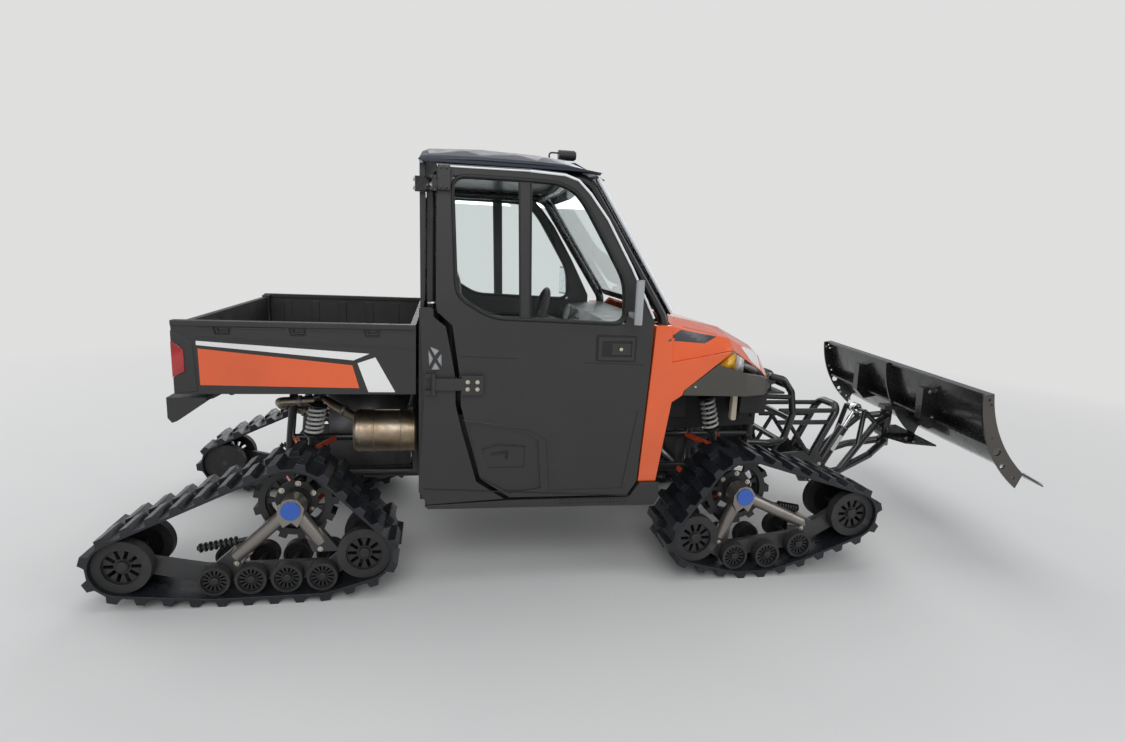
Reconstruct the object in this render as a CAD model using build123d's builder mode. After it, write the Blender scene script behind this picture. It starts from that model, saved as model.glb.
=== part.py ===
"""Tracked utility terrain vehicle with enclosed cab, dump bed, four rubber tracks and a snow plough.

Millimetres. X is forward, Y is to the vehicle's left and Z is up. The tracks stand on Z = 0.
Places along the vehicle are measured forward from the rear axle.
"""
from build123d import *
import math
import os

# Main sizes
WHEELBASE = 2057.0
REAR_AXLE_X = -1520.0
HUB_Z = 415.0
RIGHT, LEFT = -1, 1
BOTH = (RIGHT, LEFT)
SEAT = 0.3  # clearance of a round piece in its seat
GAP = 6.0  # clearance of a moving panel from its neighbour

# Rubber tracks
BELT_IN_Y = 489.0
BELT_W = 318.0
CARCASS = 12.0
LUG_H = 26.0
LUG_ROOT = 54.0
LUG_TIP = 32.0
LUG_PITCH = 104.0
IDLER_R = 114.0
BOGIE_R = 64.0
SPROCKET_R = 178.0
WHEEL_W = 46.0
OUTER_WHEEL_Y = 737.0
INNER_WHEEL_Y = 515.0
RAIL_Y = 704.0
RAIL_T = 28.0
AXLE_R = 13.0
LEG_R = 30.0
FLARE_NECK = LEG_R + 6
RAIL_UP = 53.0
HUB_CAP_R = 40.0
CAP_T = 9.0
WHEEL_DISH = 12.0
HUB_END_Y = 799.0
SPROCKET_Y = 606.0
SPROCKET_W = 84.0
TOOTH_COUNT = 13
KINGPIN_Y = 455.0
KNUCKLE_R = 36.0
SHAFT_R = 16.0
SHAFT_BORE_R = 34.0
REAR_CASE_Y, FRONT_CASE_Y = 120.0, 98.0
KNUCKLE_LOW = HUB_Z - 110
KNUCKLE_HIGH = HUB_Z + 120
BOGIE_Z = LUG_H + CARCASS + BOGIE_R

# Wheels inside each belt: x from the rear axle, height, radius, in order round the loop
REAR_WHEELS = (
    (-664.0, 186.0, IDLER_R),
    (-318.0, BOGIE_Z, BOGIE_R),
    (-173.0, BOGIE_Z, BOGIE_R),
    (-28.0, BOGIE_Z, BOGIE_R),
    (117.0, BOGIE_Z, BOGIE_R),
    (294.0, 203.0, IDLER_R),
)
FRONT_WHEELS = (
    (WHEELBASE - 229.0, 207.0, IDLER_R),
    (WHEELBASE - 17.0, BOGIE_Z, BOGIE_R),
    (WHEELBASE + 155.0, BOGIE_Z, BOGIE_R),
    (WHEELBASE + 321.0, 150.0, BOGIE_R),
    (WHEELBASE + 593.0, 303.0, IDLER_R),
)
# Feet of the two legs and ends of the spring rod of each frame: x from its hub, height
REAR_FEET = ((-240.0, 188.0), (104.0, 240.0))
REAR_ROD = ((-150.0, 272.0), (-395.0, 227.0))
FRONT_FEET = ((-84.0, 190.0), (352.0, 248.0))
FRONT_ROD = ((160.0, 352.0), (333.0, 316.0))
# Outline of a hub housing round its axle, notched between the legs
HOUSING = ((-30, 44), (0, 52), (30, 44), (54, 8), (46, -36), (24, -76), (0, -54), (-34, -76), (-56, -34),
           (-54, 8))
# Wheel faces: rim radius, hub radius, slot radius, slot length, slot width, number of slots
IDLER_FACE = (76.0, 26.0, 52.0, 38.0, 15.0, 10)
BOGIE_FACE = (52.0, 20.0, 37.0, 22.0, 7.0, 14)

# Cab and body
BODY_HALF_W = 715.0
DOOR_T = 38.0
TUBE_R = 25.0
ROPS_Y = BODY_HALF_W - 87
FLOOR_HALF_W = BODY_HALF_W - 60
FLOOR_Z = 395.0
FLOOR_T = 30.0
PANEL_T = 25.0
ROOF_HALF_W = BODY_HALF_W - 25
GLASS_T = 6.0
RAIL_PIPE_R = 25.0
CHASSIS_Z = FLOOR_Z - RAIL_PIPE_R
CHASSIS_Y = 200.0
ARM_TOP_Z = 560.0
ARM_RAIL_R = 18.0
GUARD_FLANGE_Y = CHASSIS_Y + RAIL_PIPE_R + SEAT
HINGE_X = 586.0
HINGE_Y = BODY_HALF_W + 22
HINGE_R = 11.0
HINGE_PLAY = 0.8
# Door hinges: middle height, half height of the door's leaf, height of each fixed ear
LOW_HINGE = (950.0, 26.0, 20.0)
TOP_HINGE = (1788.0, 16.0, 14.0)
DOOR_GLASS_Y = BODY_HALF_W - 8
MIRROR_TURN = 18.0
COLUMN_DIR = (-0.9614, 0.0, 0.2747)
ROOF_Z = 1875.3
REAR_GLASS_TOP = 1835.0
# Side outline of the roof over its flat underside: x, height
ROOF_TOP = ((517, 1893), (534, 1923), (563, 1936), (773, 1945), (1014, 1938), (1138, 1926), (1233, 1893),
            (1300, 1876))
ROOF_EDGE = 70.0
# Hood sections: x, bottom half width, bottom z, shoulder half width, shoulder z, top half width, top z
HOOD_STATIONS = (
    (1672, 692, 1052, 662, 1215, 520, 1258),
    (1985, 668, 1108, 612, 1158, 460, 1196),
    (2230, 500, 975, 450, 1048, 330, 1088),
    (2352, 360, 900, 330, 930, 250, 956),
)
HOOD_T = 14.0
WINCH_X, WINCH_Z = 2450.0, 878.0
GUARD_Y, GUARD_R = 270.0, 19.0
GUARD_BAR_Z, GUARD_BAR_R = 785.0, 14.0

# Corners and middle of the vent in a quarter panel
VENT = ((557, 1123), (622, 1097), (625, 1005), (565, 1002))
VENT_MIDDLE = (592, 1057)

# Dump bed
BED_REAR, BED_FRONT = -443.0, 511.0
BED_HALF_W = 713.0
BED_BOTTOM, BED_TOP = 901.0, 1198.0
BED_WALL = 26.0
BED_FLOOR_T = 22.0
BED_PIVOT_X, BED_PIVOT_Z = -436.0, 872.0
BED_RAIL_END, BED_RAIL_Z = -385.7, 820.0
POCKET_X = (-252.0, 37.0, 333.0)
BED_PIN_R = 14.0
TAILGATE_T = 28.0
TAILGATE_HALF_W = 632.0
TAILGATE_PIN_Z = 933.0
HITCH_X, HITCH_HALF = -228.0, 30.0
CROSS_R = 20.0
HITCH_Z = CHASSIS_Z - CROSS_R - SEAT - HITCH_HALF

# Plough
LIFT_X, LIFT_Z = 2800.0, 270.0
LIFT_Y = 150.0
LIFT_PIN_R = 15.0
MOUNT_Y = 100.0
MOUNT_T = 12.0
SWIVEL_X = 3380.0
BLADE_ANGLE = -9.2
BLADE_HALF_W = 914.0
# Holes in the blade's end ribs: x, height, radius
RIB_HOLES = ((3368, 920, 6), (3381, 896, 6), (3413, 728, 6), (3448, 661, 20), (3488, 590, 13), (3553, 531, 6))
CYL_X, CYL_Z = 2930.0, 245.0
ROD_EYE_X, ROD_EYE_Z = 3160.0, 655.0
ROD_START = 125.0


def at(x, y, z):
    """A point given from the rear axle."""
    return (REAR_AXLE_X + x, y, z)


def side(y):
    """Plane facing right at y: local x is forward of the rear axle, local y is height."""
    return Plane(origin=(REAR_AXLE_X, y, 0), x_dir=(1, 0, 0), z_dir=(0, -1, 0))


def level(z):
    """Plane facing up at height z: local x is forward of the rear axle, local y is to the left."""
    return Plane(origin=(REAR_AXLE_X, 0, z))


def across(x):
    """Plane facing forward at x: local x is to the left, local y is height."""
    return Plane(origin=(REAR_AXLE_X + x, 0, 0), x_dir=(0, 1, 0), z_dir=(1, 0, 0))


def add_slab(points, s, y_in, y_out, mode=Mode.ADD):
    """A side outline between two distances from the middle, on side s."""
    with BuildSketch(side(s * y_in)) as face:
        with BuildLine():
            Polyline(*points, close=True)
        make_face()
    extrude(face.sketch, amount=-s * (y_out - y_in), mode=mode)


def add_span(points, half_w, mode=Mode.ADD):
    """A side outline across the whole width, from -half_w to half_w."""
    with BuildSketch(side(0)) as face:
        with BuildLine():
            Polyline(*points, close=True)
        make_face()
    extrude(face.sketch, amount=half_w, both=True, mode=mode)


def add_box(x0, x1, y0, y1, z0, z1, mode=Mode.ADD):
    """A box between two corners given from the rear axle."""
    with Locations(at((x0 + x1) / 2, (y0 + y1) / 2, (z0 + z1) / 2)):
        Box(x1 - x0, abs(y1 - y0), z1 - z0, mode=mode)


def add_bar(start, end, radius, mode=Mode.ADD):
    """A round bar between two points given from the rear axle."""
    a, b = Vector(*at(*start)), Vector(*at(*end))
    with BuildSketch(Plane(origin=a, z_dir=b - a)) as section:
        Circle(radius)
    extrude(section.sketch, amount=(b - a).length, mode=mode)


def add_pin(x, z, y0, y1, radius, mode=Mode.ADD):
    """A round pin across the vehicle between y0 and y1."""
    add_bar((x, min(y0, y1), z), (x, max(y0, y1), z), radius, mode)


def add_tube(points, radius, bend):
    """A bent round tube through points given from the rear axle."""
    with BuildLine() as route:
        FilletPolyline(*[at(*p) for p in points], radius=bend)
    with BuildSketch(Plane(origin=route.line @ 0, z_dir=route.line % 0)) as section:
        Circle(radius)
    sweep(sections=section.sketch, path=route.line)


def add_ears(s, y_in, hinge):
    """The two fixed ears of a door hinge, above and below the door's leaf, from y_in out to the pin."""
    z, leaf, ear = hinge
    for low in (z - leaf - HINGE_PLAY - ear, z + leaf + HINGE_PLAY):
        add_bar((HINGE_X, s * HINGE_Y, low), (HINGE_X, s * HINGE_Y, low + ear), HINGE_R)
        add_box(552, HINGE_X, s * y_in, s * HINGE_Y, low, low + ear)


def belt_route(wheels):
    """Arcs of a belt round the wheels: centre, radius, start angle and end angle."""
    count = len(wheels)
    leave = []
    for i in range(count):
        x0, z0, r0 = wheels[i]
        x1, z1, r1 = wheels[(i + 1) % count]
        run = math.hypot(x1 - x0, z1 - z0)
        leave.append(math.atan2(z1 - z0, x1 - x0) - math.pi / 2 + math.asin((r0 - r1) / run))
    arcs = []
    for i in range(count):
        turn = round(leave[i] - leave[i - 1], 6) % (2 * math.pi)
        arcs.append((wheels[i][0], wheels[i][1], wheels[i][2], leave[i] - turn, leave[i]))
    return arcs


def belt_length(arcs, out):
    """Length of the belt at the distance out from its inner face."""
    total = 0.0
    for i, (x, z, r, start, end) in enumerate(arcs):
        nx, nz, nr, nstart = arcs[(i + 1) % len(arcs)][:4]
        total += (r + out) * (end - start)
        total += math.hypot(nx + nr * math.cos(nstart) - x - r * math.cos(end),
                            nz + nr * math.sin(nstart) - z - r * math.sin(end))
    return total


def on_belt(arcs, way, base, out):
    """Point of the belt at the length way along the line at base, moved outward by out - base."""
    for i, (x, z, r, start, end) in enumerate(arcs):
        arc = (r + base) * (end - start)
        if way <= arc:
            angle = start + way / (r + base)
            return (x + (r + out) * math.cos(angle), z + (r + out) * math.sin(angle))
        way -= arc
        nx, nz, nr, nstart = arcs[(i + 1) % len(arcs)][:4]
        x0, z0 = x + (r + out) * math.cos(end), z + (r + out) * math.sin(end)
        x1, z1 = nx + (nr + out) * math.cos(nstart), nz + (nr + out) * math.sin(nstart)
        run = math.hypot(x1 - x0, z1 - z0)
        if way <= run:
            return (x0 + (x1 - x0) * way / run, z0 + (z1 - z0) * way / run)
        way -= run
    return on_belt(arcs, way, base, out)


def add_belt(wheels, s):
    """A rubber belt with staggered lugs on its outer and inner halves."""
    arcs = belt_route(wheels)
    total = belt_length(arcs, CARCASS)
    count = round(total / LUG_PITCH)
    pitch = total / count
    for half, phase in ((0, 0.0), (1, 0.5)):
        outline = []
        for k in range(count):
            middle = (k + phase) * pitch + LUG_ROOT
            for step, out in ((-LUG_ROOT, 0.0), (-LUG_TIP, LUG_H), (LUG_TIP, LUG_H), (LUG_ROOT, 0.0)):
                way = (middle + step / 2) % total
                outline.append(on_belt(arcs, way, CARCASS, CARCASS + out))
        y_in = BELT_IN_Y + half * BELT_W / 2
        add_slab(outline, s, y_in, y_in + BELT_W / 2)
    with BuildSketch(side(s * BELT_IN_Y)) as inside:
        with BuildLine():
            for i, (x, z, r, start, end) in enumerate(arcs):
                nx, nz, nr, nstart = arcs[(i + 1) % len(arcs)][:4]
                a = (x + r * math.cos(start), z + r * math.sin(start))
                m = (x + r * math.cos((start + end) / 2), z + r * math.sin((start + end) / 2))
                b = (x + r * math.cos(end), z + r * math.sin(end))
                c = (nx + nr * math.cos(nstart), nz + nr * math.sin(nstart))
                if end - start > 0.001:
                    ThreePointArc(a, m, b)
                Line(b, c)
        make_face()
    extrude(inside.sketch, amount=-s * BELT_W, mode=Mode.SUBTRACT)


def add_wheels(wheels, s):
    """Idlers and bogie wheels in pairs, dished and bored for their axles, the outer ones with slots."""
    for x, z, r in wheels:
        rim_r, hub_r, slot_r, slot_l, slot_w, slots = IDLER_FACE if r == IDLER_R else BOGIE_FACE
        for y in (INNER_WHEEL_Y, OUTER_WHEEL_Y):
            face_y = y + WHEEL_W
            add_pin(x, z, s * y, s * face_y, r - SEAT)
            add_pin(x, z, s * (face_y - WHEEL_DISH), s * face_y, rim_r, Mode.SUBTRACT)
            add_pin(x, z, s * (face_y - WHEEL_DISH), s * (face_y - 3), hub_r)
            bore_end = face_y if y == INNER_WHEEL_Y else face_y - WHEEL_DISH
            add_pin(x, z, s * y, s * bore_end, AXLE_R + SEAT, Mode.SUBTRACT)
        with BuildSketch(side(s * OUTER_WHEEL_Y)) as slot_ring:
            with Locations((x, z)):
                with PolarLocations(slot_r, slots):
                    Rectangle(slot_l, slot_w)
        extrude(slot_ring.sketch, amount=-s * WHEEL_W, mode=Mode.SUBTRACT)


def add_leg(hub_x, foot, s):
    """A round leg from the hub housing down to its flared foot on the rail."""
    x, z = hub_x + foot[0], foot[1]
    run = math.hypot(foot[0], HUB_Z - z)
    ux, uz = -foot[0] / run, (HUB_Z - z) / run
    add_bar((hub_x, s * (HUB_END_Y - 49), HUB_Z), (x, s * (RAIL_Y + RAIL_T / 2), z), LEG_R)
    neck_x, neck_z = x + 60 * ux, z + 60 * uz
    base_x, base_z = x - 50 * ux, z - 50 * uz
    side_x, side_z = FLARE_NECK * uz, -FLARE_NECK * ux
    add_slab(((base_x - 58, base_z), (base_x + 58, base_z), (neck_x + side_x, neck_z + side_z),
              (neck_x - side_x, neck_z - side_z)), s, RAIL_Y, RAIL_Y + RAIL_T)


def add_spring(start, end, y, rod_r, coil_r, coils, share):
    """A rod with a spring of stacked rings over the last share of its length."""
    a, b = Vector(*at(start[0], y, start[1])), Vector(*at(end[0], y, end[1]))
    add_bar((start[0], y, start[1]), (end[0], y, end[1]), rod_r)
    run = (b - a).length
    along = (b - a).normalized()
    pitch = run * share / coils
    low = run * (1 - share)
    outline = [(0, low)]
    for k in range(coils):
        t = low + k * pitch
        outline += [(rod_r + 1, t), (coil_r, t + 0.2 * pitch)]
        outline += [(coil_r, t + 0.5 * pitch), (rod_r + 1, t + 0.7 * pitch)]
    outline += [(rod_r + 1, run), (0, run)]
    with BuildSketch(Plane(origin=a, x_dir=(0, 1, 0), z_dir=Vector(0, 1, 0).cross(along))) as half:
        with BuildLine():
            Polyline(*outline, close=True)
        make_face()
    revolve(half.sketch, axis=Axis(a, along))


def add_frame(wheels, hub_x, feet, rod, s):
    """The A-frame of one track: hub housing, two legs, rail, spring rod and the axles of its wheels."""
    rear, first, last, front = wheels[0], wheels[1], wheels[-2], wheels[-1]
    rail = (
        (rear[0] - 30, rear[1] - 26),
        (first[0] - 60, first[1] - 26),
        (last[0] + 30, last[1] - 26),
        (front[0] + 30, front[1] - 26),
        (front[0] + 30, front[1] + 26),
        (front[0] - 60, front[1] + 30),
        (last[0] + 20, last[1] + RAIL_UP),
        (first[0] - 40, first[1] + RAIL_UP),
        (rear[0] + 60, rear[1] + 22),
        (rear[0] - 30, rear[1] + 26),
    )
    add_slab(rail, s, RAIL_Y, RAIL_Y + RAIL_T)
    for x, z, r in wheels:
        add_pin(x, z, s * INNER_WHEEL_Y, s * (OUTER_WHEEL_Y + WHEEL_W - WHEEL_DISH - SEAT), AXLE_R)
    add_slab([(hub_x + x, HUB_Z + z) for x, z in HOUSING], s, RAIL_Y - 4, HUB_END_Y - CAP_T)
    add_pin(hub_x, HUB_Z, s * (HUB_END_Y - CAP_T), s * HUB_END_Y, HUB_CAP_R)
    for foot in feet:
        add_leg(hub_x, foot, s)
    (near_x, near_z), (far_x, far_z) = rod
    add_spring((hub_x + near_x, near_z), (hub_x + far_x, far_z), s * (RAIL_Y + RAIL_T / 2), 9, 20, 8, 0.66)


def add_sprocket(hub_x, s):
    """A toothed drive sprocket and the hub that joins it to the knuckle."""
    root_r = SPROCKET_R - 24
    rim_r = root_r - 28
    y_in = SPROCKET_Y
    with BuildSketch(side(s * y_in)) as teeth:
        with Locations((hub_x, HUB_Z)):
            Circle(root_r)
            with PolarLocations(root_r - 12, TOOTH_COUNT):
                Rectangle(2 * (SPROCKET_R - 2 - root_r + 12), 34)
            Circle(rim_r, mode=Mode.SUBTRACT)
    extrude(teeth.sketch, amount=-s * SPROCKET_W)
    with BuildSketch(side(s * (y_in + 46))) as web:
        with Locations((hub_x, HUB_Z)):
            Circle(rim_r + 1)
            with PolarLocations(rim_r - 24, 9):
                Rectangle(30, 52, mode=Mode.SUBTRACT)
    extrude(web.sketch, amount=-s * 18)
    add_pin(hub_x, HUB_Z, s * (y_in + 30), s * (y_in + 74), 58)
    add_pin(hub_x, HUB_Z, s * (KINGPIN_Y + KNUCKLE_R), s * (RAIL_Y - 4), 44)


def add_knuckle(hub_x, s):
    """A knuckle on its kingpin line with the steering arm."""
    add_bar((hub_x, s * KINGPIN_Y, KNUCKLE_LOW), (hub_x, s * KINGPIN_Y, KNUCKLE_HIGH), 24)
    add_pin(hub_x, HUB_Z, s * (KINGPIN_Y - KNUCKLE_R), s * (KINGPIN_Y + KNUCKLE_R), 58)
    add_box(hub_x - 120, hub_x, s * KINGPIN_Y - 14, s * KINGPIN_Y + 14, HUB_Z - 56, HUB_Z - 38)
    add_pin(hub_x, HUB_Z, s * (KINGPIN_Y - KNUCKLE_R - 1), s * (KINGPIN_Y + 14), SHAFT_BORE_R, Mode.SUBTRACT)


rear_loop = REAR_WHEELS + ((0.0, HUB_Z, SPROCKET_R),)
front_loop = FRONT_WHEELS + ((WHEELBASE, HUB_Z, SPROCKET_R),)

with BuildPart() as rear_track_belts:
    for s in BOTH:
        add_belt(rear_loop, s)

with BuildPart() as rear_track_wheels:
    for s in BOTH:
        add_wheels(REAR_WHEELS, s)

with BuildPart() as rear_track_frames:
    for s in BOTH:
        add_frame(REAR_WHEELS, 0.0, REAR_FEET, REAR_ROD, s)

with BuildPart() as rear_sprockets:
    for s in BOTH:
        add_sprocket(0.0, s)

with BuildPart() as rear_knuckles:
    for s in BOTH:
        add_knuckle(0.0, s)


def front_unit(s):
    """The five pieces that steer together on side s."""
    with BuildPart() as belt:
        add_belt(front_loop, s)
    with BuildPart() as wheels:
        add_wheels(FRONT_WHEELS, s)
    with BuildPart() as frame:
        add_frame(FRONT_WHEELS, WHEELBASE, FRONT_FEET, FRONT_ROD, s)
    with BuildPart() as sprocket:
        add_sprocket(WHEELBASE, s)
    with BuildPart() as knuckle:
        add_knuckle(WHEELBASE, s)
    return {"belt": belt, "wheels": wheels, "frame": frame, "sprocket": sprocket, "knuckle": knuckle}


# Chassis: lower rails, bed rails, uprights and cross tubes
with BuildPart() as chassis_frame:
    for s in BOTH:
        y = s * CHASSIS_Y
        add_tube(((-160, y, CHASSIS_Z), (2300, y, CHASSIS_Z), (2350, y, 560), (2330, y, 860), (1690, y, 880)),
                 RAIL_PIPE_R, 60)
        add_tube(((BED_RAIL_END, y, BED_RAIL_Z), (492, y, BED_RAIL_Z), (495, y, CHASSIS_Z)), RAIL_PIPE_R, 60)
        add_bar((-140, y, CHASSIS_Z), (-95, y, BED_RAIL_Z), CROSS_R)
        add_bar((1690, y, CHASSIS_Z), (1690, y, 880), RAIL_PIPE_R)
        add_bar((1985, y, CHASSIS_Z), (1985, y, 872), 20)
        add_bar((-121, y, ARM_TOP_Z), (495, y, ARM_TOP_Z), ARM_RAIL_R)
        add_bar((1690, y, ARM_TOP_Z), (2350, y, ARM_TOP_Z), ARM_RAIL_R)
    for x, z, half in (
        (-130.3, CHASSIS_Z, CHASSIS_Y),
        (1300, CHASSIS_Z, CHASSIS_Y),
        (1939.7, CHASSIS_Z, CHASSIS_Y),
        (55, BED_RAIL_Z, 430),
        (492, BED_RAIL_Z, 640),
        (1985, 860, 430),
        (-355, BED_RAIL_Z, 300),
    ):
        add_pin(x, z, -half, half, CROSS_R)
    for s in BOTH:
        add_slab(((BED_RAIL_END, BED_RAIL_Z - 5), (BED_RAIL_END, BED_RAIL_Z + 20), (-440, 852), (-450, 884),
                  (-420, 890), (-340, BED_RAIL_Z + 22), (-340, BED_RAIL_Z - 20)), s, 228, 252)
        add_pin(BED_PIVOT_X, BED_PIVOT_Z, s * 228, s * 252, 22)
        add_pin(BED_PIVOT_X, BED_PIVOT_Z, s * 205, s * 300, BED_PIN_R)

# Cab: floor tub with firewall, sills, roll cage, walls, roof and glass
with BuildPart() as floor_tub:
    add_box(545.3, 1660, -FLOOR_HALF_W, FLOOR_HALF_W, FLOOR_Z, FLOOR_Z + FLOOR_T)
    add_box(1632, 1660, -600, 600, FLOOR_Z + FLOOR_T, 1150)
    add_box(640, 1060, -600, 600, FLOOR_Z + FLOOR_T, 780)
    add_box(665, 1035, -575, 575, FLOOR_Z + FLOOR_T, 755, Mode.SUBTRACT)

with BuildPart() as rocker_sills:
    for s in BOTH:
        add_slab(((551, 385), (565, 372), (1076, 366), (1624, 362), (1646, 400), (1640, 474.2), (1548, 474.2),
                  (1500, 405), (930, 405), (560, 390)), s, FLOOR_HALF_W, BODY_HALF_W + 5)

with BuildPart() as cab_frame:
    for s in BOTH:
        y = s * ROPS_Y
        add_tube(((575, y, FLOOR_Z + FLOOR_T), (575, y, 1850), (1245, y, 1850), (1640, y, 1253),
                  (1590, y, FLOOR_Z + FLOOR_T + 2)), TUBE_R, 90)
        add_box(505, 604, s * (ROPS_Y + 13), s * (ROPS_Y + 40), TOP_HINGE[0] - 31, TOP_HINGE[0] + 31)
        add_ears(s, ROPS_Y + 32, TOP_HINGE)
    for x, z in ((575, 1790), (575, 1300), (1225, 1850)):
        add_pin(x, z, -ROPS_Y, ROPS_Y, 22)

with BuildPart() as cab_rear_wall:
    add_box(527, 545, -FLOOR_HALF_W, FLOOR_HALF_W, FLOOR_Z, 1300)
    add_box(527, 545, -ROPS_Y + 28, ROPS_Y - 28, REAR_GLASS_TOP, ROOF_Z - SEAT)
    for s in BOTH:
        add_slab(((522, ROOF_Z - SEAT), (548, ROOF_Z - SEAT), (549, 1300), (527, 1300)), s, ROPS_Y - 28,
                 ROPS_Y + 12)

with BuildPart() as rear_glass:
    add_box(533, 539, -ROPS_Y + 28 + SEAT, ROPS_Y - 28 - SEAT, 1300 + SEAT, REAR_GLASS_TOP - SEAT)

with BuildPart() as quarter_panels:
    for s in BOTH:
        add_slab(((527, 1275), (572, 1280), (584, 1270), (584, 1240), (636, 1198), (660, 1079), (680, 969),
                  (681, 857), (708, 742), (778, 495), (905, 411), (560, 393), (523, 467), (545, 857)),
                 s, BODY_HALF_W - PANEL_T, BODY_HALF_W)
        add_box(523, 552, s * FLOOR_HALF_W, s * (BODY_HALF_W - PANEL_T), 440, 1275)
        add_ears(s, BODY_HALF_W, LOW_HINGE)
        for i, (x, z) in enumerate(VENT):
            nx, nz = VENT[(i + 1) % len(VENT)]
            middle = [(p + q + r) / 3 for p, q, r in zip((x, z), (nx, nz), VENT_MIDDLE)]
            corners = [tuple(c + 0.7 * (p - c) for p, c in zip(point, middle))
                       for point in ((x, z), (nx, nz), VENT_MIDDLE)]
            add_slab(corners, s, BODY_HALF_W - 10, BODY_HALF_W, Mode.SUBTRACT)

with BuildPart() as roof:
    for y, share in ((-ROOF_HALF_W, 0.45), (-ROOF_HALF_W + ROOF_EDGE, 1), (ROOF_HALF_W - ROOF_EDGE, 1),
                     (ROOF_HALF_W, 0.45)):
        with BuildSketch(side(y)):
            with BuildLine():
                Polyline(*[(x, ROOF_Z + share * (z - ROOF_Z)) for x, z in ROOF_TOP], (1262, ROOF_Z),
                         (540, ROOF_Z), close=True)
            make_face()
    loft(ruled=True)
    add_span(((1120, 1930), (1215, 1937), (1361, 1868), (1322, 1862), (1262, ROOF_Z), (1120, 1900)), 480)
    for y in (-390, -130, 130, 390):
        add_box(640, 1060, y - 90, y + 90, 1926, 1950, Mode.SUBTRACT)

with BuildPart() as roof_lamp:
    add_slab(((1150, 1932.6), (1205, 1936.6), (1205, 1942), (1150, 1942)), RIGHT, 262, 338)
    add_box(1168, 1190, -312, -288, 1940, 1970)
    add_bar((1165, -300, 1991), (1243, -300, 1991), 24)
    add_bar((1243, -300, 1991), (1250, -300, 1991), 19)
    add_tube(((1170, -300, 2000), (1118, -300, 2000), (1128, -300, 1931)), 4, 14)

with BuildPart() as windshield:
    add_span(((1273, 1853.5), (1660.4, 1268.3), (1668.4, 1273.3), (1281, 1858.5)), FLOOR_HALF_W - 5)

with BuildPart() as dashboard:
    add_span(((1631.7, 1225), (1631.7, 860), (1500, 860), (1400, 960), (1362, 1130), (1420, 1205)), 600)
    add_bar((1400, 330, 1080), (1232, 330, 1128), 26)

with BuildPart() as seat_cushion:
    add_box(650, 1130, -600, 600, 780.3, 905)
    fillet(seat_cushion.edges().filter_by(Axis.Y), 30)

with BuildPart() as seat_back:
    add_span(((600.5, 905.5), (730, 905.5), (695, 1430), (600.5, 1440)), 590)

with BuildPart() as steering_wheel:
    hub_plane = Plane(origin=at(1231.7, 330, 1128.1), z_dir=COLUMN_DIR)
    with BuildSketch(hub_plane.offset(30)) as rim:
        Circle(185)
        Circle(157, mode=Mode.SUBTRACT)
    extrude(rim.sketch, amount=26)
    with BuildSketch(hub_plane) as boss:
        Circle(42)
    extrude(boss.sketch, amount=44)
    with BuildSketch(hub_plane.offset(30)) as spokes:
        with PolarLocations(95, 3, start_angle=90):
            Rectangle(136, 26)
    extrude(spokes.sketch, amount=12)

# Front body


def hood_form(inset):
    """Loft of the hood's sections, made smaller by inset for its inside."""
    with BuildPart() as form:
        for x, wb, zb, ws, zs, wt, zt in HOOD_STATIONS:
            b, w, t = wb - inset, ws - inset, wt - inset
            foot = zb - inset
            with BuildSketch(across(x)):
                with BuildLine():
                    Polyline((-b, foot), (-w, zs - inset / 2), (-t, zt - inset), (t, zt - inset),
                             (w, zs - inset / 2), (b, foot), close=True)
                make_face()
        loft(ruled=True)
    return form.part


with BuildPart() as hood:
    add(hood_form(0.0))
    add(hood_form(HOOD_T), mode=Mode.SUBTRACT)

with BuildPart() as side_cowls:
    for s in BOTH:
        add_slab(((1583, 1222), (1574, 1023), (1544, 474.5), (1631, 474.5), (1683, 860), (1736, 896),
                  (1744, 920), (1968, 1103.5), (1670, 1051), (1662, 1222)), s, BODY_HALF_W - 55,
                 BODY_HALF_W - 13)

with BuildPart() as front_fascia:
    with BuildSketch(level(860)) as band:
        with BuildLine():
            Polyline((1730, 600), (1730, 705), (2060, 705), (2175, 660), (2330, 420), (2400, 300),
                     (2400, -300), (2330, -420), (2175, -660), (2060, -705), (1730, -705), (1730, -600),
                     (2050, -660), (2150, -620), (2290, -400), (2362, -290), (2362, 290), (2290, 400),
                     (2150, 620), (2050, 660), close=True)
        make_face()
    extrude(band.sketch, amount=200)
    add_span(((1736.4, 895.9), (1744.35, 919.8), (1907.4, 1047.5), (1915, 1040), (2036, 1002), (2133, 985),
              (2230, 955), (2345, 885), (2410, 862), (2180, 889)), 710, Mode.INTERSECT)

with BuildPart() as headlamps:
    for s in BOTH:
        add_slab(((1922, 1038.2), (1990, 1096), (1992, 1016.2)), s, 580, 688)
        add_slab(((2008, 1011.2), (2012, 1084), (2045, 1066), (2044, 1001.2)), s, 560, 672)

with BuildPart() as grille_guard:
    for s in BOTH:
        y = s * GUARD_Y
        add_tube(((2410, y, 905), (2495, y, 886), (2550, y, 815), (2572, y, 686), (2530, y, 535),
                  (2440, y, 520)), GUARD_R, 42)
        for front_x, rear_x, z, r in ((2452, 2339, 520, 17), (2548, 2335, GUARD_BAR_Z, GUARD_BAR_R)):
            add_bar((front_x, y, z), (rear_x, s * (GUARD_FLANGE_Y + 18), z), r)
            add_box(rear_x - 22, rear_x + 22, s * GUARD_FLANGE_Y, s * (GUARD_FLANGE_Y + 16), z - 22, z + 22)
    for x, z in ((2528, 846), (2566, 655), (2512, 531)):
        add_pin(x, z, -GUARD_Y, GUARD_Y, 16)

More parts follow.
